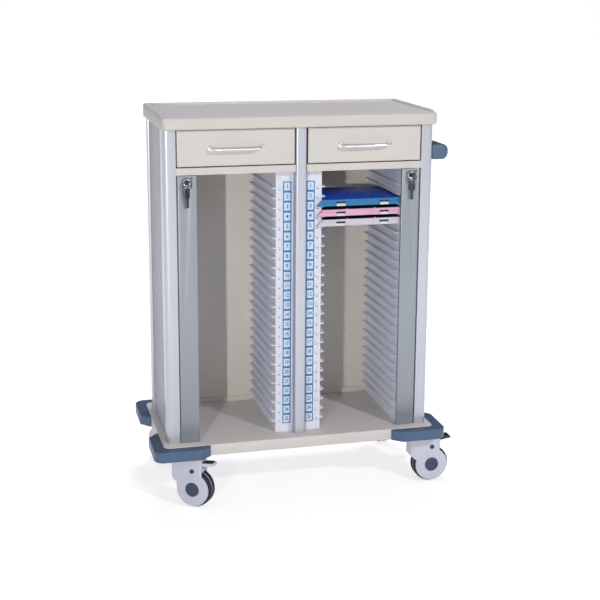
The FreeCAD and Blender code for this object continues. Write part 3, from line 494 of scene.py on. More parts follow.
def make_finishes(c):
    """Every finish of the rack, by name."""
    FINISH["beige"] = moulded("Moulded beige", c.beige, 0.5, 1100, 0.00005, 0.02)
    FINISH["base"] = moulded("Moulded base", c.base, 0.5, 1100, 0.00005, 0.02)
    FINISH["drawer"] = moulded("Drawer lacquer", c.drawer, 0.38, 1500, 0.00003, 0.015)
    # Painted shade for the gaps round the drawers, put on the drawer fronts' narrow sides.
    FINISH["drawer_side"] = moulded("Drawer side painted shade", c.drawer_side, 0.6, 1500, 0.00003, 0.015)
    FINISH["aluminium"] = brushed("Anodised aluminium", c.aluminium, 0.32, 2, 0.55, 900, 0.00002, 0.03)
    FINISH["side"] = moulded("Side panel laminate", c.side_grey, 0.42, 800, 0.00004, 0.025)
    FINISH["back"] = moulded("Back panel paint", c.back_beige, 0.55, 500, 0.00008, 0.03)
    FINISH["white"] = moulded("White rack plastic", c.white, 0.4, 1300, 0.00003, 0.02)
    FINISH["label"] = moulded("Label frame", c.blue_frame, 0.35, 1600, 0.00002, 0.05)
    FINISH["card"] = moulded("Number card", c.card, 0.6, 2400, 0.00002, 0.02)
    FINISH["ink"] = moulded("Printed number", c.ink, 0.55, 2400, 0.00001, 0.1)
    FINISH["steel"] = brushed("Brushed lock bar", c.steel, 0.38, 2, 0.5, 600, 0.00003, 0.06)
    FINISH["zinc"] = brushed("Zinc-plated steel", (0.55, 0.55, 0.58), 0.4, 1, 0.9, 300, 0.00003, 0.1)
    FINISH["chrome"] = moulded("Polished chrome", (0.82, 0.82, 0.86), 0.12, 400, 0.00001, 0.03, 1.0)
    FINISH["key"] = moulded("Dark nickel key", (0.07, 0.075, 0.09), 0.34, 500, 0.00003, 0.15, 0.85)
    FINISH["guard"] = moulded("Guard plastic", c.guard, 0.45, 900, 0.00006, 0.05, 0, 0.12)
    FINISH["grip"] = moulded("Grip plastic", c.grip, 0.42, 1000, 0.00006, 0.05, 0, 0.08)
    FINISH["caster"] = moulded("Caster housing", c.caster, 0.4, 1100, 0.00004, 0.03, 0, 0.1)
    FINISH["tyre"] = moulded("Tyre rubber", c.tyre, 0.6, 700, 0.0001, 0.15, 0, 0.06)
    FINISH["core"] = moulded("Wheel core", (0.5, 0.5, 0.58), 0.45, 900, 0.00005, 0.06)
    FINISH["cap"] = moulded("Hub cap", c.cap, 0.36, 1000, 0.00003, 0.06)
    FINISH["pin"] = moulded("Dark pin", (0.03, 0.03, 0.05), 0.35, 900, 0.00003, 0.1)
    FINISH["pedal"] = moulded("Pedal plastic", (0.014, 0.013, 0.018), 0.45, 900, 0.00008, 0.1, 0, 0.06)
    FINISH["blue"] = moulded("Blue spine", c.folder_blue, 0.3, 500, 0.00003, 0.06)
    FINISH["pink"] = moulded("Pink spine", c.folder_pink, 0.35, 500, 0.00003, 0.06)
    FINISH["ivory"] = moulded("White spine", c.folder_white, 0.35, 500, 0.00003, 0.05)
    FINISH["navy"] = moulded("Navy cover", c.folder_cover, 0.4, 420, 0.00012, 0.08)
    # Black of the pink and white folders' covers: partly their real colour, partly painted shade for the
    # dark gaps between the stacked folders. The clip slots use it too.
    FINISH["black"] = moulded("Black cover and painted gap shade", (0.012, 0.012, 0.022), 0.45, 420, 0.00012, 0.1)
    FINISH["paper"] = paper("Chart pages", (0.62, 0.61, 0.58))


CARRIED = {"divider_panel": "side", "drawer_outer_rails": "zinc", "drawer_inner_rails_left": "zinc",
           "drawer_inner_rails_right": "zinc", "lock_bar_pivots": "zinc", "caster_plates": "zinc",
           "tie_rods": "zinc"}


def finish_frame():
    """Finishes for the frame's own nodes that stay in view."""
    for name, key in CARRIED.items():
        finished(frame["nodes"][name], FINISH[key])


# ---------------------------------------------------------------- boards
def outer_wall(face):
    """An upright face that looks away from the middle of the board."""
    away = face.calc_center_median() - Vector((MIDDLE_X, (TOP[0].y + TOP[1].y) / 2, 0))
    return abs(face.normal.z) < 0.5 and face.normal.x * away.x + face.normal.y * away.y > 0


def build_top_board(s):
    """Moulded slab; its rim runs along the sides and the back and fades out at the front."""
    low, high = TOP
    fade = low.y + RIM_FADE
    slab = block(low, (high.x, high.y, SLAB_TOP))
    bevel(slab, upright, BOARD_CORNER, 8)
    bevel(slab, lambda e: near(mid(e).z, low.z) and not upright(e), SLAB_FOOT_EDGE, 4)
    inset(slab, lambda f: f.normal.z > 0.9, RIM_WIDTH)
    slice_at(slab, (0, fade, 0), (0, 1, 0))
    extrude(slab, lambda f: f.normal.z > 0.9 and f.calc_center_median().y > low.y + BOARD_CORNER
            and (abs(f.calc_center_median().x - MIDDLE_X) > (high.x - low.x) / 2 - RIM_WIDTH
                 or f.calc_center_median().y > high.y - RIM_WIDTH), (0, 0, RIM_HEIGHT))
    shift(slab, lambda v: v.co.z > SLAB_TOP + 1e-4 and v.co.y < low.y + BOARD_CORNER + MM,
          (0, 0, -RIM_HEIGHT))
    merged(slab)
    bevel(slab, lambda e: sum(f.normal.z > 0.5 for f in e.link_faces) == 1
          and any(outer_wall(f) for f in e.link_faces), s.board_edge, 4)
    bevel(slab, lambda e: near(mid(e).z, high.z) and sum(f.normal.z > 0.9 for f in e.link_faces) == 1
          and any(abs(f.normal.z) < 0.1 and not outer_wall(f) for f in e.link_faces), s.rim_edge, 2)
    return piece(slab, "top_tray", "frame", FINISH["beige"], ("top_board",))


def build_base_board():
    """Plain slab with rounded corners, its upper edge eased more than the lower."""
    low, high = BASE
    board = block(low, high)
    bevel(board, upright, BOARD_CORNER, 8)
    bevel(board, lambda e: not upright(e) and mid(e).z > low.z + 1e-4, 2.5 * MM, 3)
    bevel(board, lambda e: not upright(e) and mid(e).z < low.z + 1e-4, 1.5 * MM, 2)
    return piece(board, "base_slab", "frame", FINISH["base"], ("base_board",))


# ---------------------------------------------------------------- posts and panels
POST_CORNER = 13 * MM
PANEL_BORDER = 7 * MM
GROOVE_WIDTH = 1.2 * MM
GROOVE_DEPTH = 0.6 * MM
PANEL_FACE_AREA = 0.05
RIVET = [(0, 1.0), (1.4, 0.9), (2.4, 0.5), (3.0, 0), (0, 0)]
RIVET_GAPS = 5
RIVET_FROM_SIDE = 16 * MM
RIVET_FROM_END = 40 * MM


def build_corner_post(side, row, s):
    """Extruded post with one well rounded outer corner and eased edges beside it."""
    name = row + "_post_" + side
    low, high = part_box(name)
    out_x = low.x if side == "left" else high.x
    out_y = low.y if row == "front" else high.y
    post = block(low, high)
    bevel(post, lambda e: upright(e) and near(mid(e).x, out_x) and near(mid(e).y, out_y), POST_CORNER, 10)
    bevel(post, lambda e: upright(e) and (near(mid(e).x, out_x) != near(mid(e).y, out_y))
          and max(abs(mid(e).x - out_x), abs(mid(e).y - out_y)) > POST_CORNER + MM, s.sheet_edge, 2)
    return piece(post, name + "_profile", "frame", FINISH["aluminium"], (name,))


def build_centre_post():
    """Post between the bays, rounded at the front."""
    low, high = CENTRE
    post = block(low, high)
    bevel(post, lambda e: upright(e) and mid(e).y < low.y + 1e-4, 7 * MM, 6)
    return piece(post, "centre_post_profile", "frame", FINISH["aluminium"], ("centre_post",))


def build_side_panel(side, s):
    """Sheet with a shallow border pressed into its outer face."""
    low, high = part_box("side_panel_" + side)
    out = -1 if side == "left" else 1
    sheet = block(low, high)
    inset(sheet, lambda f: f.normal.x * out > 0.9, PANEL_BORDER)
    inset(sheet, lambda f: f.normal.x * out > 0.9 and f.calc_area() > PANEL_FACE_AREA,
          GROOVE_WIDTH, -GROOVE_DEPTH)
    return piece(sheet, "side_sheet_" + side, "frame", FINISH["side"], ("side_panel_" + side,))


def build_back_panel(s):
    """Sheet with a hem at the foot of each bay and rivets along its edges."""
    sheet = refined("back_panel", s.sheet_edge)
    low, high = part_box("back_panel")
    for x in (low.x + RIVET_FROM_SIDE, high.x - RIVET_FROM_SIDE):
        for step in range(RIVET_GAPS + 1):
            z = low.z + RIVET_FROM_END + step * (high.z - low.z - 2 * RIVET_FROM_END) / RIVET_GAPS
            join(sheet, turned(RIVET, (x, high.y, z), (0, 1, 0), 16))
    return piece(sheet, "back_sheet", "frame", FINISH["back"], ("back_panel",))


def build_shelves():
    """Drawer shelves with their front rails."""
    shelves = refined("drawer_shelves", 1.2 * MM, 3)
    return piece(shelves, "shelf_rails", "frame", FINISH["drawer"], ("drawer_shelves",))


# ---------------------------------------------------------------- racks
def rack_lines(name):
    """(outer x, inner x, inward direction) of a rack column."""
    low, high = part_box("rack_column_" + name)
    return (low.x, high.x, 1) if name in ("left_outer", "right_inner") else (high.x, low.x, -1)


def build_columns():
    """The four slotted columns that carry the runners."""
    for name in COLUMNS:
        column = refined("rack_column_" + name, 0.4 * MM, 1)
        piece(column, "rack_channel_" + name, "frame", FINISH["white"],
              ("rack_column_" + name,))


def runner_shape(outer, inner, inward):
    """One slot runner at the highest slot: a lip over the column's face and a rounded arm."""
    top, front, back = RUNNERS[1].z, RUNNERS[0].y, RUNNERS[1].y
    under = top - RUNNER_THICK
    lip_x, tip = outer + inward * LIP_START, inner + inward * ARM_REACH
    low_x, high_x = min(inner, tip), max(inner, tip)
    arm = block((low_x, front, under), (high_x, back, top))
    bevel(arm, lambda e: upright(e) and near(mid(e).x, tip) and mid(e).y < 0, ARM_CORNER, 5)
    lip = block((min(lip_x, inner), front, under), (max(lip_x, inner), front + LIP_DEPTH, top))
    bevel(lip, lambda e: upright(e) and near(mid(e).x, lip_x) and near(mid(e).y, front), LIP_CORNER, 2)
    bevel(arm, lambda e: not upright(e) and near(mid(e).z, top), RUNNER_EDGE, 2)
    bevel(lip, lambda e: not upright(e) and near(mid(e).z, top) and mid(e).y < front + MM, RUNNER_EDGE, 2)
    return join(arm, lip)


def build_runners():
    """Twenty-five runners on each column, one mesh a column."""
    for name in COLUMNS:
        runner = stacked(runner_shape(*rack_lines(name)), SLOTS, (0, 0, -PITCH))
        piece(runner, "runners_" + name, "frame", FINISH["white"],
              ("slot_runners",) if name == COLUMNS[0] else ())


FRAME_EDGE = 0.4 * MM
CARD_SHARE = 0.48
CARD_SUNK = 0.6 * MM


def card_frame(x0, s):
    """Blue frame of the highest slot round a sunk white card."""
    front, rear, top = STRIPS[0].y, STRIPS[1].y, STRIPS[1].z
    gap = 0.25 * MM
    cell = block((x0, front, top - PITCH + gap), (x0 + STRIP_WIDTH, rear, top - gap))
    bevel(cell, lambda e: mid(e).y < front + 1e-5, FRAME_EDGE, 1)
    finished(cell, FINISH["label"])
    inset(cell, lambda f: f.normal.y < -0.9, s.label_margin - FRAME_EDGE)
    coat(cell, FINISH["card"], lambda f: f.normal.y < -0.9
         and f.calc_area() > CARD_SHARE * STRIP_WIDTH * PITCH
         and near(f.calc_center_median().x, x0 + STRIP_WIDTH / 2))
    return extrude(cell, lambda f: f.material_index == 1, (0, CARD_SUNK, 0))


def slot_number(number, x, y, z, s):
    """A number as a thin raised mesh."""
    start()
    bpy.ops.object.text_add(location=(0, 0, 0))
    text = bpy.context.object
    text.data.body = str(number)
    text.data.size = s.number_height * 1.42
    text.data.align_x, text.data.align_y = "CENTER", "CENTER"
    text.data.resolution_u = 3
    text.data.extrude = 0.1 * MM
    text.data.offset = 0.12 * MM
    text.data.space_character = 0.9
    take(text)
    bpy.ops.object.convert(target="MESH")
    digits = bpy.context.object
    if number > 9:
        digits.scale = (0.8, 1, 1)
    digits.rotation_euler = (math.pi / 2, 0, 0)
    digits.location = (x, y, z)
    return settle(digits)


def build_number_strips(s):
    """Card frames with the slot numbers, one strip a column."""
    front, top = STRIPS[0].y, STRIPS[1].z
    for name in COLUMNS:
        outer, _, inward = rack_lines(name)
        x0 = min(outer + inward * STRIP_MARGIN, outer + inward * (STRIP_MARGIN + STRIP_WIDTH))
        strip = stacked(card_frame(x0, s), SLOTS, (0, 0, -PITCH))
        piece(strip, "number_frames_" + name, "frame", None,
              ("number_strips",) if name == COLUMNS[0] else ())
        digits = [slot_number(n, x0 + STRIP_WIDTH / 2, front + 0.5 * MM, top - PITCH * (n - 0.5), s)
                  for n in range(1, SLOTS + 1)]
        piece(join(*digits), "slot_numbers_" + name, "frame", FINISH["ink"])


# ---------------------------------------------------------------- drawers
def build_drawer(side, s):
    """Drawer front whose narrow sides carry painted shade for the dark gaps round it, the tray behind it and
    the handle.
    """
    low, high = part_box("drawer_front_" + side)
    body = "drawer_" + side
    panel = block(low, high)
    bevel(panel, lambda e: mid(e).y < low.y + 1e-5, s.drawer_edge, 4)
    bevel(panel, lambda e: along(e, 1), MM, 2)
    finished(panel, FINISH["drawer"])
    # Painted shade: the narrow sides of the front take the dark colour that stands in for the shadowed gap
    # round the drawer.
    coat(panel, FINISH["drawer_side"], lambda f: abs(f.normal.y) < 0.1)
    piece(panel, "drawer_face_" + side, body, None, ("drawer_front_" + side,))
    tray = refined("drawer_box_" + side, 0.3 * MM, 1)
    piece(tray, "drawer_tray_" + side, body, FINISH["drawer"], ("drawer_box_" + side,))
    build_handle(side, s)


def build_handle(side, s):
    """Round bar with two bends, drawn out from a foot, with a collar at each foot."""
    low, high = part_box("drawer_handle_" + side)
    r, bend, quarter = s.handle_bar, 20 * MM, -math.pi / 2
    z, rear = (low.z + high.z) / 2, high.y
    left, right, out = low.x + r, high.x - r, low.y + r
    start()
    bpy.ops.mesh.primitive_circle_add(vertices=20, radius=r, fill_type="NGON", location=(left, rear, z),
                                      rotation=(math.pi / 2, 0, 0))
    bar = settle(bpy.context.object)
    edit_all(bar)
    bpy.ops.mesh.extrude_region_move(TRANSFORM_OT_translate={"value": (0, out + bend - rear, 0)})
    bpy.ops.mesh.spin(steps=8, angle=quarter, center=(left + bend, out + bend, z), axis=(0, 0, 1))
    bpy.ops.mesh.extrude_region_move(TRANSFORM_OT_translate={"value": (right - left - 2 * bend, 0, 0)})
    bpy.ops.mesh.spin(steps=8, angle=quarter, center=(right - bend, out + bend, z), axis=(0, 0, 1))
    bpy.ops.mesh.extrude_region_move(TRANSFORM_OT_translate={"value": (0, rear - out - bend, 0)})
    done(bar)
    outward(bar)
    collar = [(0, 0), (7.5, 0), (7.5, 0.8), (7.0, 1.6), (5.6, 2.2), (4.4, 2.4), (0, 2.4)]
    for x in (left, right):
        join(bar, turned(collar, (x, rear, z), (0, -1, 0), 28))
    piece(bar, "drawer_pull_" + side, "drawer_" + side, FINISH["chrome"],
          ("drawer_handle_" + side,))


# ---------------------------------------------------------------- lock bars
def build_lock(side, s):
    """Brushed bar with its cam lock, key, key ring and spare key."""
    body = "lock_bar_" + side
    low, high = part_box(body)
    bar = refined(body, 0.8 * MM)
    piece(bar, "bar_strip_" + side, body, FINISH["steel"], (body,))
    turn = joint("lock_key_" + side + "_turn")["pos_m"]
    lock = Vector((turn[0], low.y, turn[2]))
    screw = [(0, 0), (2.8, 0), (2.7, 0.5), (2.1, 0.9), (0.9, 1.1), (0.9, 0.5), (0, 0.5)]
    head = turned(screw, lock + Vector((12.5 * MM, 0, 10.5 * MM)), (0, -1, 0), 20)
    piece(head, "cover_screw_" + side, body, FINISH["key"])
    case = finished(refined("lock_case_" + side, 0.25 * MM, 1), FINISH["chrome"])
    case = coat(case, FINISH["key"], lambda f: f.calc_center_median().y < low.y - 4 * MM
                or f.calc_center_median().z < lock.z - 12 * MM)
    piece(case, "lock_barrel_" + side, body, None, ("lock_case_" + side,))
    collar = [(5.8, 2.6), (8.2, 2.6), (8.2, 3.3), (7.8, 3.7), (6.4, 3.7), (5.8, 3.3), (5.8, 2.6)]
    piece(turned(collar, lock, (0, -1, 0), 36), "lock_collar_" + side, body, FINISH["chrome"])
    washer = [(9.6, 0), (12, 0), (12, 0.4), (11.6, 0.7), (9.6, 0.7), (9.6, 0)]
    piece(turned(washer, lock, (0, -1, 0), 36), "lock_washer_" + side, body, FINISH["pin"])
    key = refined("lock_key_" + side, 0.3 * MM, 1)
    piece(key, "key_" + side, "lock_key_" + side, FINISH["key"], ("lock_key_" + side,))


# ---------------------------------------------------------------- push handle and bumpers
def build_push_handle(s):
    """D-section handle with a screw cap on the top of each arm."""
    low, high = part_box("push_handle")
    bar = refined("push_handle", s.grip_edge, 4)
    piece(bar, "push_bar", "frame", FINISH["grip"], ("push_handle",))
    cap = [(0, 0), (6, 0), (5.7, 0.5), (5.0, 0.8), (0, 1.0)]
    caps = [turned(cap, (low.x + 16 * MM, y, high.z - 0.1 * MM), (0, 0, 1), 24)
            for y in (low.y + 14 * MM, high.y - 14 * MM)]
    piece(join(*caps), "push_bar_caps", "frame", FINISH["cap"])


def build_bumpers():
    """A guard round each corner of the base board."""
    for corner in CORNERS:
        guard = refined("bumper_" + corner, 0.8 * MM)
        piece(guard, "corner_guard_" + corner, "frame", FINISH["guard"], ("bumper_" + corner,))


# ---------------------------------------------------------------- casters
TREAD = [(41, 3.5), (48.9, 3.5), (49.8, 4.3), (50, 5.5), (50, 10.5), (49.6, 12.6), (48.4, 14.2),
         (46.5, 15), (41, 15), (41, 3.5)]
CORE = [(6.3, -14.8), (40.9, -14.8), (40.9, -3.4), (47.6, -3.4), (47.6, 3.4), (40.9, 3.4), (40.9, 14.8),
        (6.3, 14.8), (6.3, -14.8)]
HUB_CAP = [(0, 21.3), (19, 21.3), (19, 23.2), (18.6, 24.1), (17.6, 24.5), (15.6, 24.5), (14.4, 23.9),
           (0, 23.6)]
HUB_RING = [(19.2, 21.2), (22.6, 21.2), (22.4, 21.9), (21.8, 22.2), (19.8, 22.2), (19.2, 21.8), (19.2, 21.2)]
PIN_HEAD = [(0, 21.3), (6.0, 21.3), (6.0, 23.7), (5.6, 24.3), (2.6, 24.3), (2.0, 23.7), (0, 23.7)]
PIN_DISH = [(6.2, 21.2), (8.6, 21.2), (8.2, 21.8), (6.6, 21.8), (6.2, 21.2)]
PIN_RISE = 51 * MM
PEDAL_DROP = 5
PEDAL_RUN = 46.5


def build_caster(corner, s):
    """Housing with hub caps and pins, and a wheel with two treads."""
    body, wheel_body = "caster_" + corner, "wheel_" + corner
    roll = joint("wheel_" + corner + "_roll")
    axle, across = Vector(roll["pos_m"]), Vector(roll["axis"])
    pin = axle + Vector((0, 0, PIN_RISE))
    faces = (across, -across)
    treads = [turned(TREAD, axle, face, 72) for face in faces]
    piece(join(*treads), "tyre_treads_" + corner, wheel_body, FINISH["tyre"],
          ("caster_wheel_" + corner,))
    piece(turned(CORE, axle, across, 64), "wheel_core_" + corner, wheel_body, FINISH["core"])
    shell = refined("caster_shell_" + corner, s.shell_edge)
    rims = [turned(shape, place, face, 48) for face in faces
            for shape, place in ((HUB_RING, axle), (PIN_DISH, pin))]
    piece(join(shell, *rims), "caster_housing_" + corner, body, FINISH["caster"],
          ("caster_shell_" + corner,))
    shaft = turned([(0, -21.2), (6, -21.2), (6, 21.2), (0, 21.2)], axle, across, 24)
    caps = [turned(HUB_CAP, axle, face, 48) for face in faces]
    piece(join(shaft, *caps), "hub_caps_" + corner, body, FINISH["cap"],
          ("caster_axle_" + corner,))
    heads = finished(join(*[turned(PIN_HEAD, pin, face, 28) for face in faces]), FINISH["pin"])
    coat(heads, FINISH["cap"], lambda f: (f.calc_center_median() - pin).cross(across).length < 1.9 * MM)
    piece(heads, "brake_pins_" + corner, body)


def build_pedal(corner, finish, pad_finish, s):
    """Foot lever with a ribbed pad on its slope."""
    swivel = joint("caster_" + corner + "_swivel")["pos_m"]
    press = joint("brake_pedal_" + corner + "_press")
    pivot = Vector(press["pos_m"])
    turn = math.atan2(pivot.y - swivel[1], pivot.x - swivel[0])
    slope = math.atan2(PEDAL_DROP, PEDAL_RUN)
    lever = refined("brake_pedal_" + corner, 1.2 * MM)
    piece(lever, "pedal_lever_" + corner, "pedal_" + corner, finish, ("brake_pedal_" + corner,))
    pad = block((18 * MM, -11 * MM, 4.6 * MM), (46 * MM, 11 * MM, 6.2 * MM))
    bevel(pad, lambda e: upright(e), 3 * MM, 3)
    rib = block((21 * MM, -9 * MM, 6.0 * MM), (23 * MM, 9 * MM, 7.0 * MM))
    bevel(rib, lambda e: mid(e).z > 6.9 * MM, 0.5 * MM, 1)
    pad = join(pad, stacked(rib, 5, (5 * MM, 0, 0)))
    pad.matrix_world = (Matrix.Translation(pivot) @ Matrix.Rotation(turn, 4, "Z")
                        @ Matrix.Rotation(-slope, 4, "Y"))
    piece(settle(pad), "pedal_pad_" + corner, "pedal_" + corner, pad_finish)


# ---------------------------------------------------------------- chart folders
SPINE_DEPTH = 12 * MM
BODY_INSET = 15 * MM
SPINE_FOOT = 3 * MM
SPINE_SLANT = 10 * MM
CLIP_OFFSET = 59 * MM
CLIP_HALF = 12 * MM


def spine_shape(low, high):
    """Spine with an upper ledge, a groove under it and slanted ends."""
    front, back = low.y, low.y + SPINE_DEPTH
    slant = (high.z - low.z - SPINE_FOOT) / SPINE_SLANT
    split = low.z + 0.58 * (high.z - low.z)
    points = [(low.x, back, low.z), (low.x, front + 2 * MM, low.z), (low.x, front + MM, low.z + MM),
              (low.x, front + MM, split - 0.8 * MM), (low.x, front + 2.2 * MM, split - 0.4 * MM),
              (low.x, front + 2.2 * MM, split + 0.2 * MM), (low.x, front + 0.4 * MM, split + 0.8 * MM),
              (low.x, front, split + 1.6 * MM), (low.x, front, high.z - 1.2 * MM),
              (low.x, front + 1.2 * MM, high.z), (low.x, back, high.z)]
    spine = prism(points, (high.x - low.x, 0, 0))
    slice_at(spine, (low.x, 0, low.z + SPINE_FOOT), (-slant, 0, 1), True)
    slice_at(spine, (high.x, 0, low.z + SPINE_FOOT), (slant, 0, 1), True)
    return outward(spine)


def build_folder(name, spine_finish, cover_finish):
    """Binder: spine with its proud middle, two covers and the pages between them."""
    low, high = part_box("chart_folder_" + name)
    middle, cover, back = (low.x + high.x) / 2, 4 * MM, low.y + SPINE_DEPTH
    spine = spine_shape(low, high)
    reach = CLIP_OFFSET - CLIP_HALF - 1.5 * MM
    panel = block((middle - reach, low.y - 0.1 * MM, low.z + 0.8 * MM),
                  (middle + reach, low.y + 3 * MM, high.z - 2.2 * MM))
    bevel(panel, lambda e: mid(e).y < low.y, 0.6 * MM, 2)
    face_y = low.y + 0.2 * MM
    nubs = []
    for x in (middle - 45 * MM, middle + 31 * MM):
        tooth = [(x, face_y, high.z - MM), (x + 3 * MM, face_y, high.z + 2.4 * MM),
                 (x + 6 * MM, face_y, high.z - MM)]
        nubs.append(prism(tooth, (0, 3 * MM, 0)))
    whole = finished(join(spine, panel, *nubs), spine_finish)
    # The spine's top takes the cover's finish. On the pink and white folders this black is partly painted
    # shade for the gaps between the folders.
    coat(whole, cover_finish, lambda f: f.normal.z > 0.9 and f.calc_center_median().z > high.z - MM)
    piece(whole, "folder_spine_" + name, "frame", None, ("chart_folder_" + name,), 30)
    x0, x1 = low.x + BODY_INSET, high.x - BODY_INSET
    covers = []
    for z in (low.z, high.z - cover):
        sheet = block((x0, back, z), (x1, high.y, z + cover))
        bevel(sheet, lambda e: upright(e) and mid(e).y > back + MM, 6 * MM, 4)
        covers.append(soften(sheet, 0.9 * MM, 2))
    piece(join(*covers), "folder_covers_" + name, "frame", cover_finish)
    pages = block((x0 + 3 * MM, back, low.z + cover), (x1 - 3 * MM, high.y - 3 * MM, high.z - cover))
    bevel(pages, lambda e: upright(e) and mid(e).y > back + MM, 2 * MM, 2)
    piece(pages, "folder_pages_" + name, "frame", FINISH["paper"])


def build_clips():
    """Metal clips on the spines, each below a dark slot."""
    plates, slots = [], []
    for name in FOLDERS:
        low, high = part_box("chart_folder_" + name)
        middle = (low.x + high.x) / 2
        for x in (middle - CLIP_OFFSET, middle + CLIP_OFFSET):
            plate = block((x - CLIP_HALF, low.y - MM, low.z + 0.6 * MM),
                          (x + CLIP_HALF, low.y + 1.2 * MM, low.z + 7.6 * MM))
            bevel(plate, lambda e: mid(e).y < low.y - 0.9 * MM, 0.7 * MM, 2)
            plates.append(plate)
            slot = block((x - CLIP_HALF, low.y - 0.5 * MM, low.z + 7.6 * MM),
                         (x + CLIP_HALF, low.y + 2.4 * MM, low.z + 12.4 * MM))
            slots.append(bevel(slot, lambda e: mid(e).y < low.y, 0.4 * MM, 1))
    piece(join(*plates), "clip_plates", "frame", FINISH["zinc"], ("folder_clips",))
    piece(join(*slots), "clip_slots", "frame", FINISH["black"])


# ---------------------------------------------------------------- stage
def any_ray(nodes, links, kinds):
    """One for the kinds of ray named, nought for all others."""
    path = nodes.new("ShaderNodeLightPath")
    value = path.outputs[kinds[0]]
    for kind in kinds[1:]:
        most = nodes.new("ShaderNodeMath")
        most.operation = "MAXIMUM"
        links.new(value, most.inputs[0])
        links.new(path.outputs[kind], most.inputs[1])
        value = most.outputs[0]
    return value


def build_floor():
    """Pale floor that keeps the shadow near the rack and turns white further out."""
    start()
    bpy.ops.mesh.primitive_plane_add(size=40, location=(0, 0, 0))
    floor = bpy.context.object
    floor.name = "floor"
    m, nodes, links, shader = tree("Studio floor")
    shader.inputs["Base Color"].default_value = (0.7, 0.7, 0.7, 1)
    shader.inputs["Roughness"].default_value = 0.9
    coords = nodes.new("ShaderNodeTexCoord").outputs["Object"]
    distance = nodes.new("ShaderNodeVectorMath")
    distance.operation = "LENGTH"
    links.new(coords, distance.inputs[0])
    glow = nodes.new("ShaderNodeEmission")
    links.new(spread(nodes, links, distance.outputs["Value"], 0.62, 1.0, 0.5, 2.4), glow.inputs["Strength"])
    add = nodes.new("ShaderNodeAddShader")
    mix = nodes.new("ShaderNodeMixShader")
    links.new(shader.outputs[0], add.inputs[0])
    links.new(glow.outputs[0], add.inputs[1])
    seen = any_ray(nodes, links, ("Is Camera Ray", "Is Glossy Ray", "Is Transmission Ray"))
    links.new(seen, mix.inputs[0])
    links.new(shader.outputs[0], mix.inputs[1])
    links.new(add.outputs[0], mix.inputs[2])
    links.new(mix.outputs[0], nodes["Material Output"].inputs[0])
    floor.data.materials.append(m)


def build_world():
    """Soft light all round; reflections see white in front and grey behind."""
    world = bpy.data.worlds.new("studio")
    bpy.context.scene.world = world
    world.use_nodes = True
    nodes, links = world.node_tree.nodes, world.node_tree.links
    ambient = nodes["Background"]
    ambient.inputs["Color"].default_value = (0.93, 0.93, 1.0, 1)
    ambient.inputs["Strength"].default_value = 0.3
    coords = nodes.new("ShaderNodeTexCoord").outputs["Generated"]
    split = nodes.new("ShaderNodeSeparateXYZ")
    links.new(coords, split.inputs[0])
    mirrored_room = nodes.new("ShaderNodeBackground")
    links.new(spread(nodes, links, split.outputs["Y"], 0.85, 0.14, -0.9, 0.2),
              mirrored_room.inputs["Strength"])
    white = nodes.new("ShaderNodeBackground")
    white.inputs["Color"].default_value = (1, 1, 1, 1)
    reflect = nodes.new("ShaderNodeMixShader")
    links.new(any_ray(nodes, links, ("Is Glossy Ray", "Is Transmission Ray")), reflect.inputs[0])
    links.new(ambient.outputs[0], reflect.inputs[1])
    links.new(mirrored_room.outputs[0], reflect.inputs[2])
    final = nodes.new("ShaderNodeMixShader")
    links.new(any_ray(nodes, links, ("Is Camera Ray",)), final.inputs[0])
    links.new(reflect.outputs[0], final.inputs[1])
    links.new(white.outputs[0], final.inputs[2])
    links.new(final.outputs[0], nodes["World Output"].inputs[0])


LAMP_TARGET = (0, 0, 0.55)
LAMP_DISTANCE = 4.2
WARM_WHITE = (1.0, 0.995, 0.98)
CAMERA_PLACE = (-0.8054, -3.1946, 1.3530)
CAMERA_TURN = -14.5
CAMERA_DIP = 12.7
CAMERA_ROLL = 0.34
CAMERA_LENS = 74.4
CAMERA_SHIFT = -0.0667


def lamp(name, side_turn, rise, share, size, rgb):
    """Round lamp seen from the rack at an angle from the front; share is what a surface facing it gets."""
    turn, tilt = math.radians(side_turn), math.radians(rise)
    away = Vector((math.sin(turn) * math.cos(tilt), -math.cos(turn) * math.cos(tilt), math.sin(tilt)))
    bpy.ops.object.light_add(type="AREA", location=Vector(LAMP_TARGET) + away * LAMP_DISTANCE)
    light = bpy.context.object
    light.name = name
    light.data.shape = "DISK"
    light.data.size = size
    light.data.energy = share * math.pi ** 2 * LAMP_DISTANCE ** 2
    light.data.color = rgb
    light.rotation_euler = away.to_track_quat("Z", "Y").to_euler()
    return light


def build_camera():
    """Camera in front on the left, looking slightly down."""
    bpy.ops.object.camera_add(location=CAMERA_PLACE)
    camera = bpy.context.object
    turn, tilt, roll = (math.radians(a) for a in (CAMERA_TURN, CAMERA_DIP, CAMERA_ROLL))
    forward = Vector((-math.sin(turn) * math.cos(tilt), math.cos(turn) * math.cos(tilt), -math.sin(tilt)))
    look = forward.to_track_quat("-Z", "Y").to_matrix().to_4x4() @ Matrix.Rotation(roll, 4, "Z")
    camera.matrix_world = Matrix.Translation(camera.location) @ look
    camera.data.sensor_width = 36
    camera.data.lens = CAMERA_LENS
    camera.data.shift_y = CAMERA_SHIFT
    bpy.context.scene.camera = camera
    bpy.context.scene.view_settings.view_transform = "Standard"


# ---------------------------------------------------------------- operators
class RackOperator:
    bl_options = {"REGISTER", "UNDO"}

    def execute(self, context):
        self.build(context.scene.rack_sizes, context.scene.rack_colours)
        return {"FINISHED"}


class RACK_OT_finishes(RackOperator, bpy.types.Operator):
    """Makes the finishes and gives them to the frame's own nodes"""
    bl_idname = "rack.finishes"
    bl_label = "Finishes"

    def build(self, s, c):
        make_finishes(c)
        finish_frame()


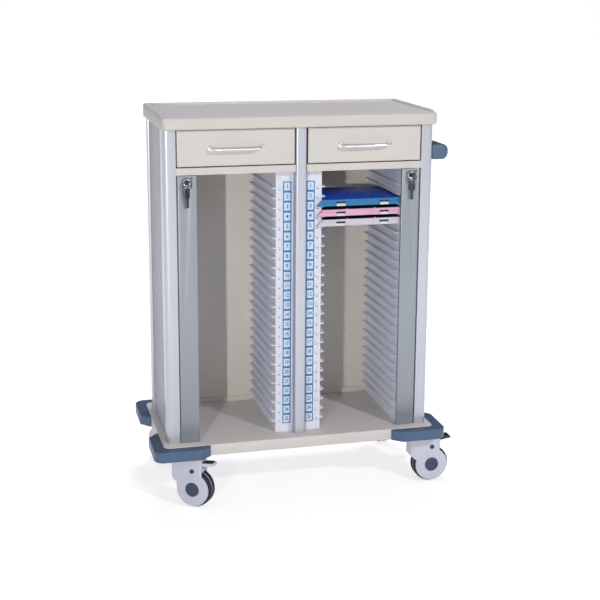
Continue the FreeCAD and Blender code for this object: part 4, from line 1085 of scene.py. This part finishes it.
class RACK_OT_boards(RackOperator, bpy.types.Operator):
    """Models the top board with its rim and the base board"""
    bl_idname = "rack.boards"
    bl_label = "Boards"

    def build(self, s, c):
        build_top_board(s)
        build_base_board()


class RACK_OT_posts(RackOperator, bpy.types.Operator):
    """Models the corner posts and the centre post"""
    bl_idname = "rack.posts"
    bl_label = "Posts"

    def build(self, s, c):
        for side in SIDES:
            for row in ("front", "rear"):
                build_corner_post(side, row, s)
        build_centre_post()


class RACK_OT_panels(RackOperator, bpy.types.Operator):
    """Models the side panels, the back panel and the drawer shelves"""
    bl_idname = "rack.panels"
    bl_label = "Panels"

    def build(self, s, c):
        for side in SIDES:
            build_side_panel(side, s)
        build_back_panel(s)
        build_shelves()


class RACK_OT_racks(RackOperator, bpy.types.Operator):
    """Models the rack columns, the slot runners and the numbered strips"""
    bl_idname = "rack.racks"
    bl_label = "Racks"

    def build(self, s, c):
        build_columns()
        build_runners()
        build_number_strips(s)


class RACK_OT_drawers(RackOperator, bpy.types.Operator):
    """Models the drawers and their handles"""
    bl_idname = "rack.drawers"
    bl_label = "Drawers"

    def build(self, s, c):
        for side in SIDES:
            build_drawer(side, s)


class RACK_OT_locks(RackOperator, bpy.types.Operator):
    """Models the lock bars with their locks and keys"""
    bl_idname = "rack.locks"
    bl_label = "Lock bars"

    def build(self, s, c):
        for side in SIDES:
            build_lock(side, s)


class RACK_OT_guards(RackOperator, bpy.types.Operator):
    """Models the push handle and the corner bumpers"""
    bl_idname = "rack.guards"
    bl_label = "Handle and bumpers"

    def build(self, s, c):
        build_push_handle(s)
        build_bumpers()


class RACK_OT_casters(RackOperator, bpy.types.Operator):
    """Models the casters and the brake pedals"""
    bl_idname = "rack.casters"
    bl_label = "Casters"

    def build(self, s, c):
        for corner in CORNERS:
            build_caster(corner, s)
        build_pedal("front_left", FINISH["caster"], FINISH["pedal"], s)
        build_pedal("front_right", FINISH["pedal"], FINISH["pedal"], s)


class RACK_OT_folders(RackOperator, bpy.types.Operator):
    """Models the chart folders and their clips"""
    bl_idname = "rack.folders"
    bl_label = "Chart folders"

    def build(self, s, c):
        build_folder("blue", FINISH["blue"], FINISH["navy"])
        # The pink and white folders have black covers, which also serve as painted shade in the gaps between
        # them.
        build_folder("pink", FINISH["pink"], FINISH["black"])
        build_folder("white", FINISH["ivory"], FINISH["black"])
        build_clips()


class RACK_OT_stage(RackOperator, bpy.types.Operator):
    """Sets the floor, the light and the camera"""
    bl_idname = "rack.stage"
    bl_label = "Stage"

    def build(self, s, c):
        build_floor()
        build_world()
        lamp("left_lamp", -26.5, 8, 0.31, 0.1, WARM_WHITE)
        lamp("right_lamp", 28, 27, 0.28, 0.1, WARM_WHITE)
        lamp("side_lamp", -103, 16, 0.045, 1.6, (0.88, 0.87, 1.0)).visible_glossy = False
        lamp("top_lamp", 168, 62, 0.5, 1.6, (0.84, 0.84, 1.0)).visible_glossy = False
        build_camera()


OPERATORS = (RACK_OT_finishes, RACK_OT_boards, RACK_OT_posts, RACK_OT_panels, RACK_OT_racks, RACK_OT_drawers,
             RACK_OT_locks, RACK_OT_guards, RACK_OT_casters, RACK_OT_folders, RACK_OT_stage)


class RACK_PT_panel(bpy.types.Panel):
    """Sizes, colours and building steps of the chart rack"""
    bl_idname = "RACK_PT_panel"
    bl_label = "Chart Rack"
    bl_space_type = "VIEW_3D"
    bl_region_type = "UI"
    bl_category = "Chart Rack"

    def draw(self, context):
        for group in (context.scene.rack_sizes, context.scene.rack_colours):
            for key in group.bl_rna.properties.keys():
                if key not in ("rna_type", "name"):
                    self.layout.prop(group, key)
        for op in OPERATORS:
            self.layout.operator(op.bl_idname)


CLASSES = (RACK_PG_sizes, RACK_PG_colours, *OPERATORS, RACK_PT_panel)


def register():
    for cls in CLASSES:
        bpy.utils.register_class(cls)
    bpy.types.Scene.rack_sizes = PointerProperty(type=RACK_PG_sizes)
    bpy.types.Scene.rack_colours = PointerProperty(type=RACK_PG_colours)


def unregister():
    del bpy.types.Scene.rack_colours
    del bpy.types.Scene.rack_sizes
    for cls in reversed(CLASSES):
        bpy.utils.unregister_class(cls)


def main():
    register()
    for op in OPERATORS:
        group, name = op.bl_idname.split(".")
        getattr(getattr(bpy.ops, group), name)()


if __name__ == "__main__":
    main()
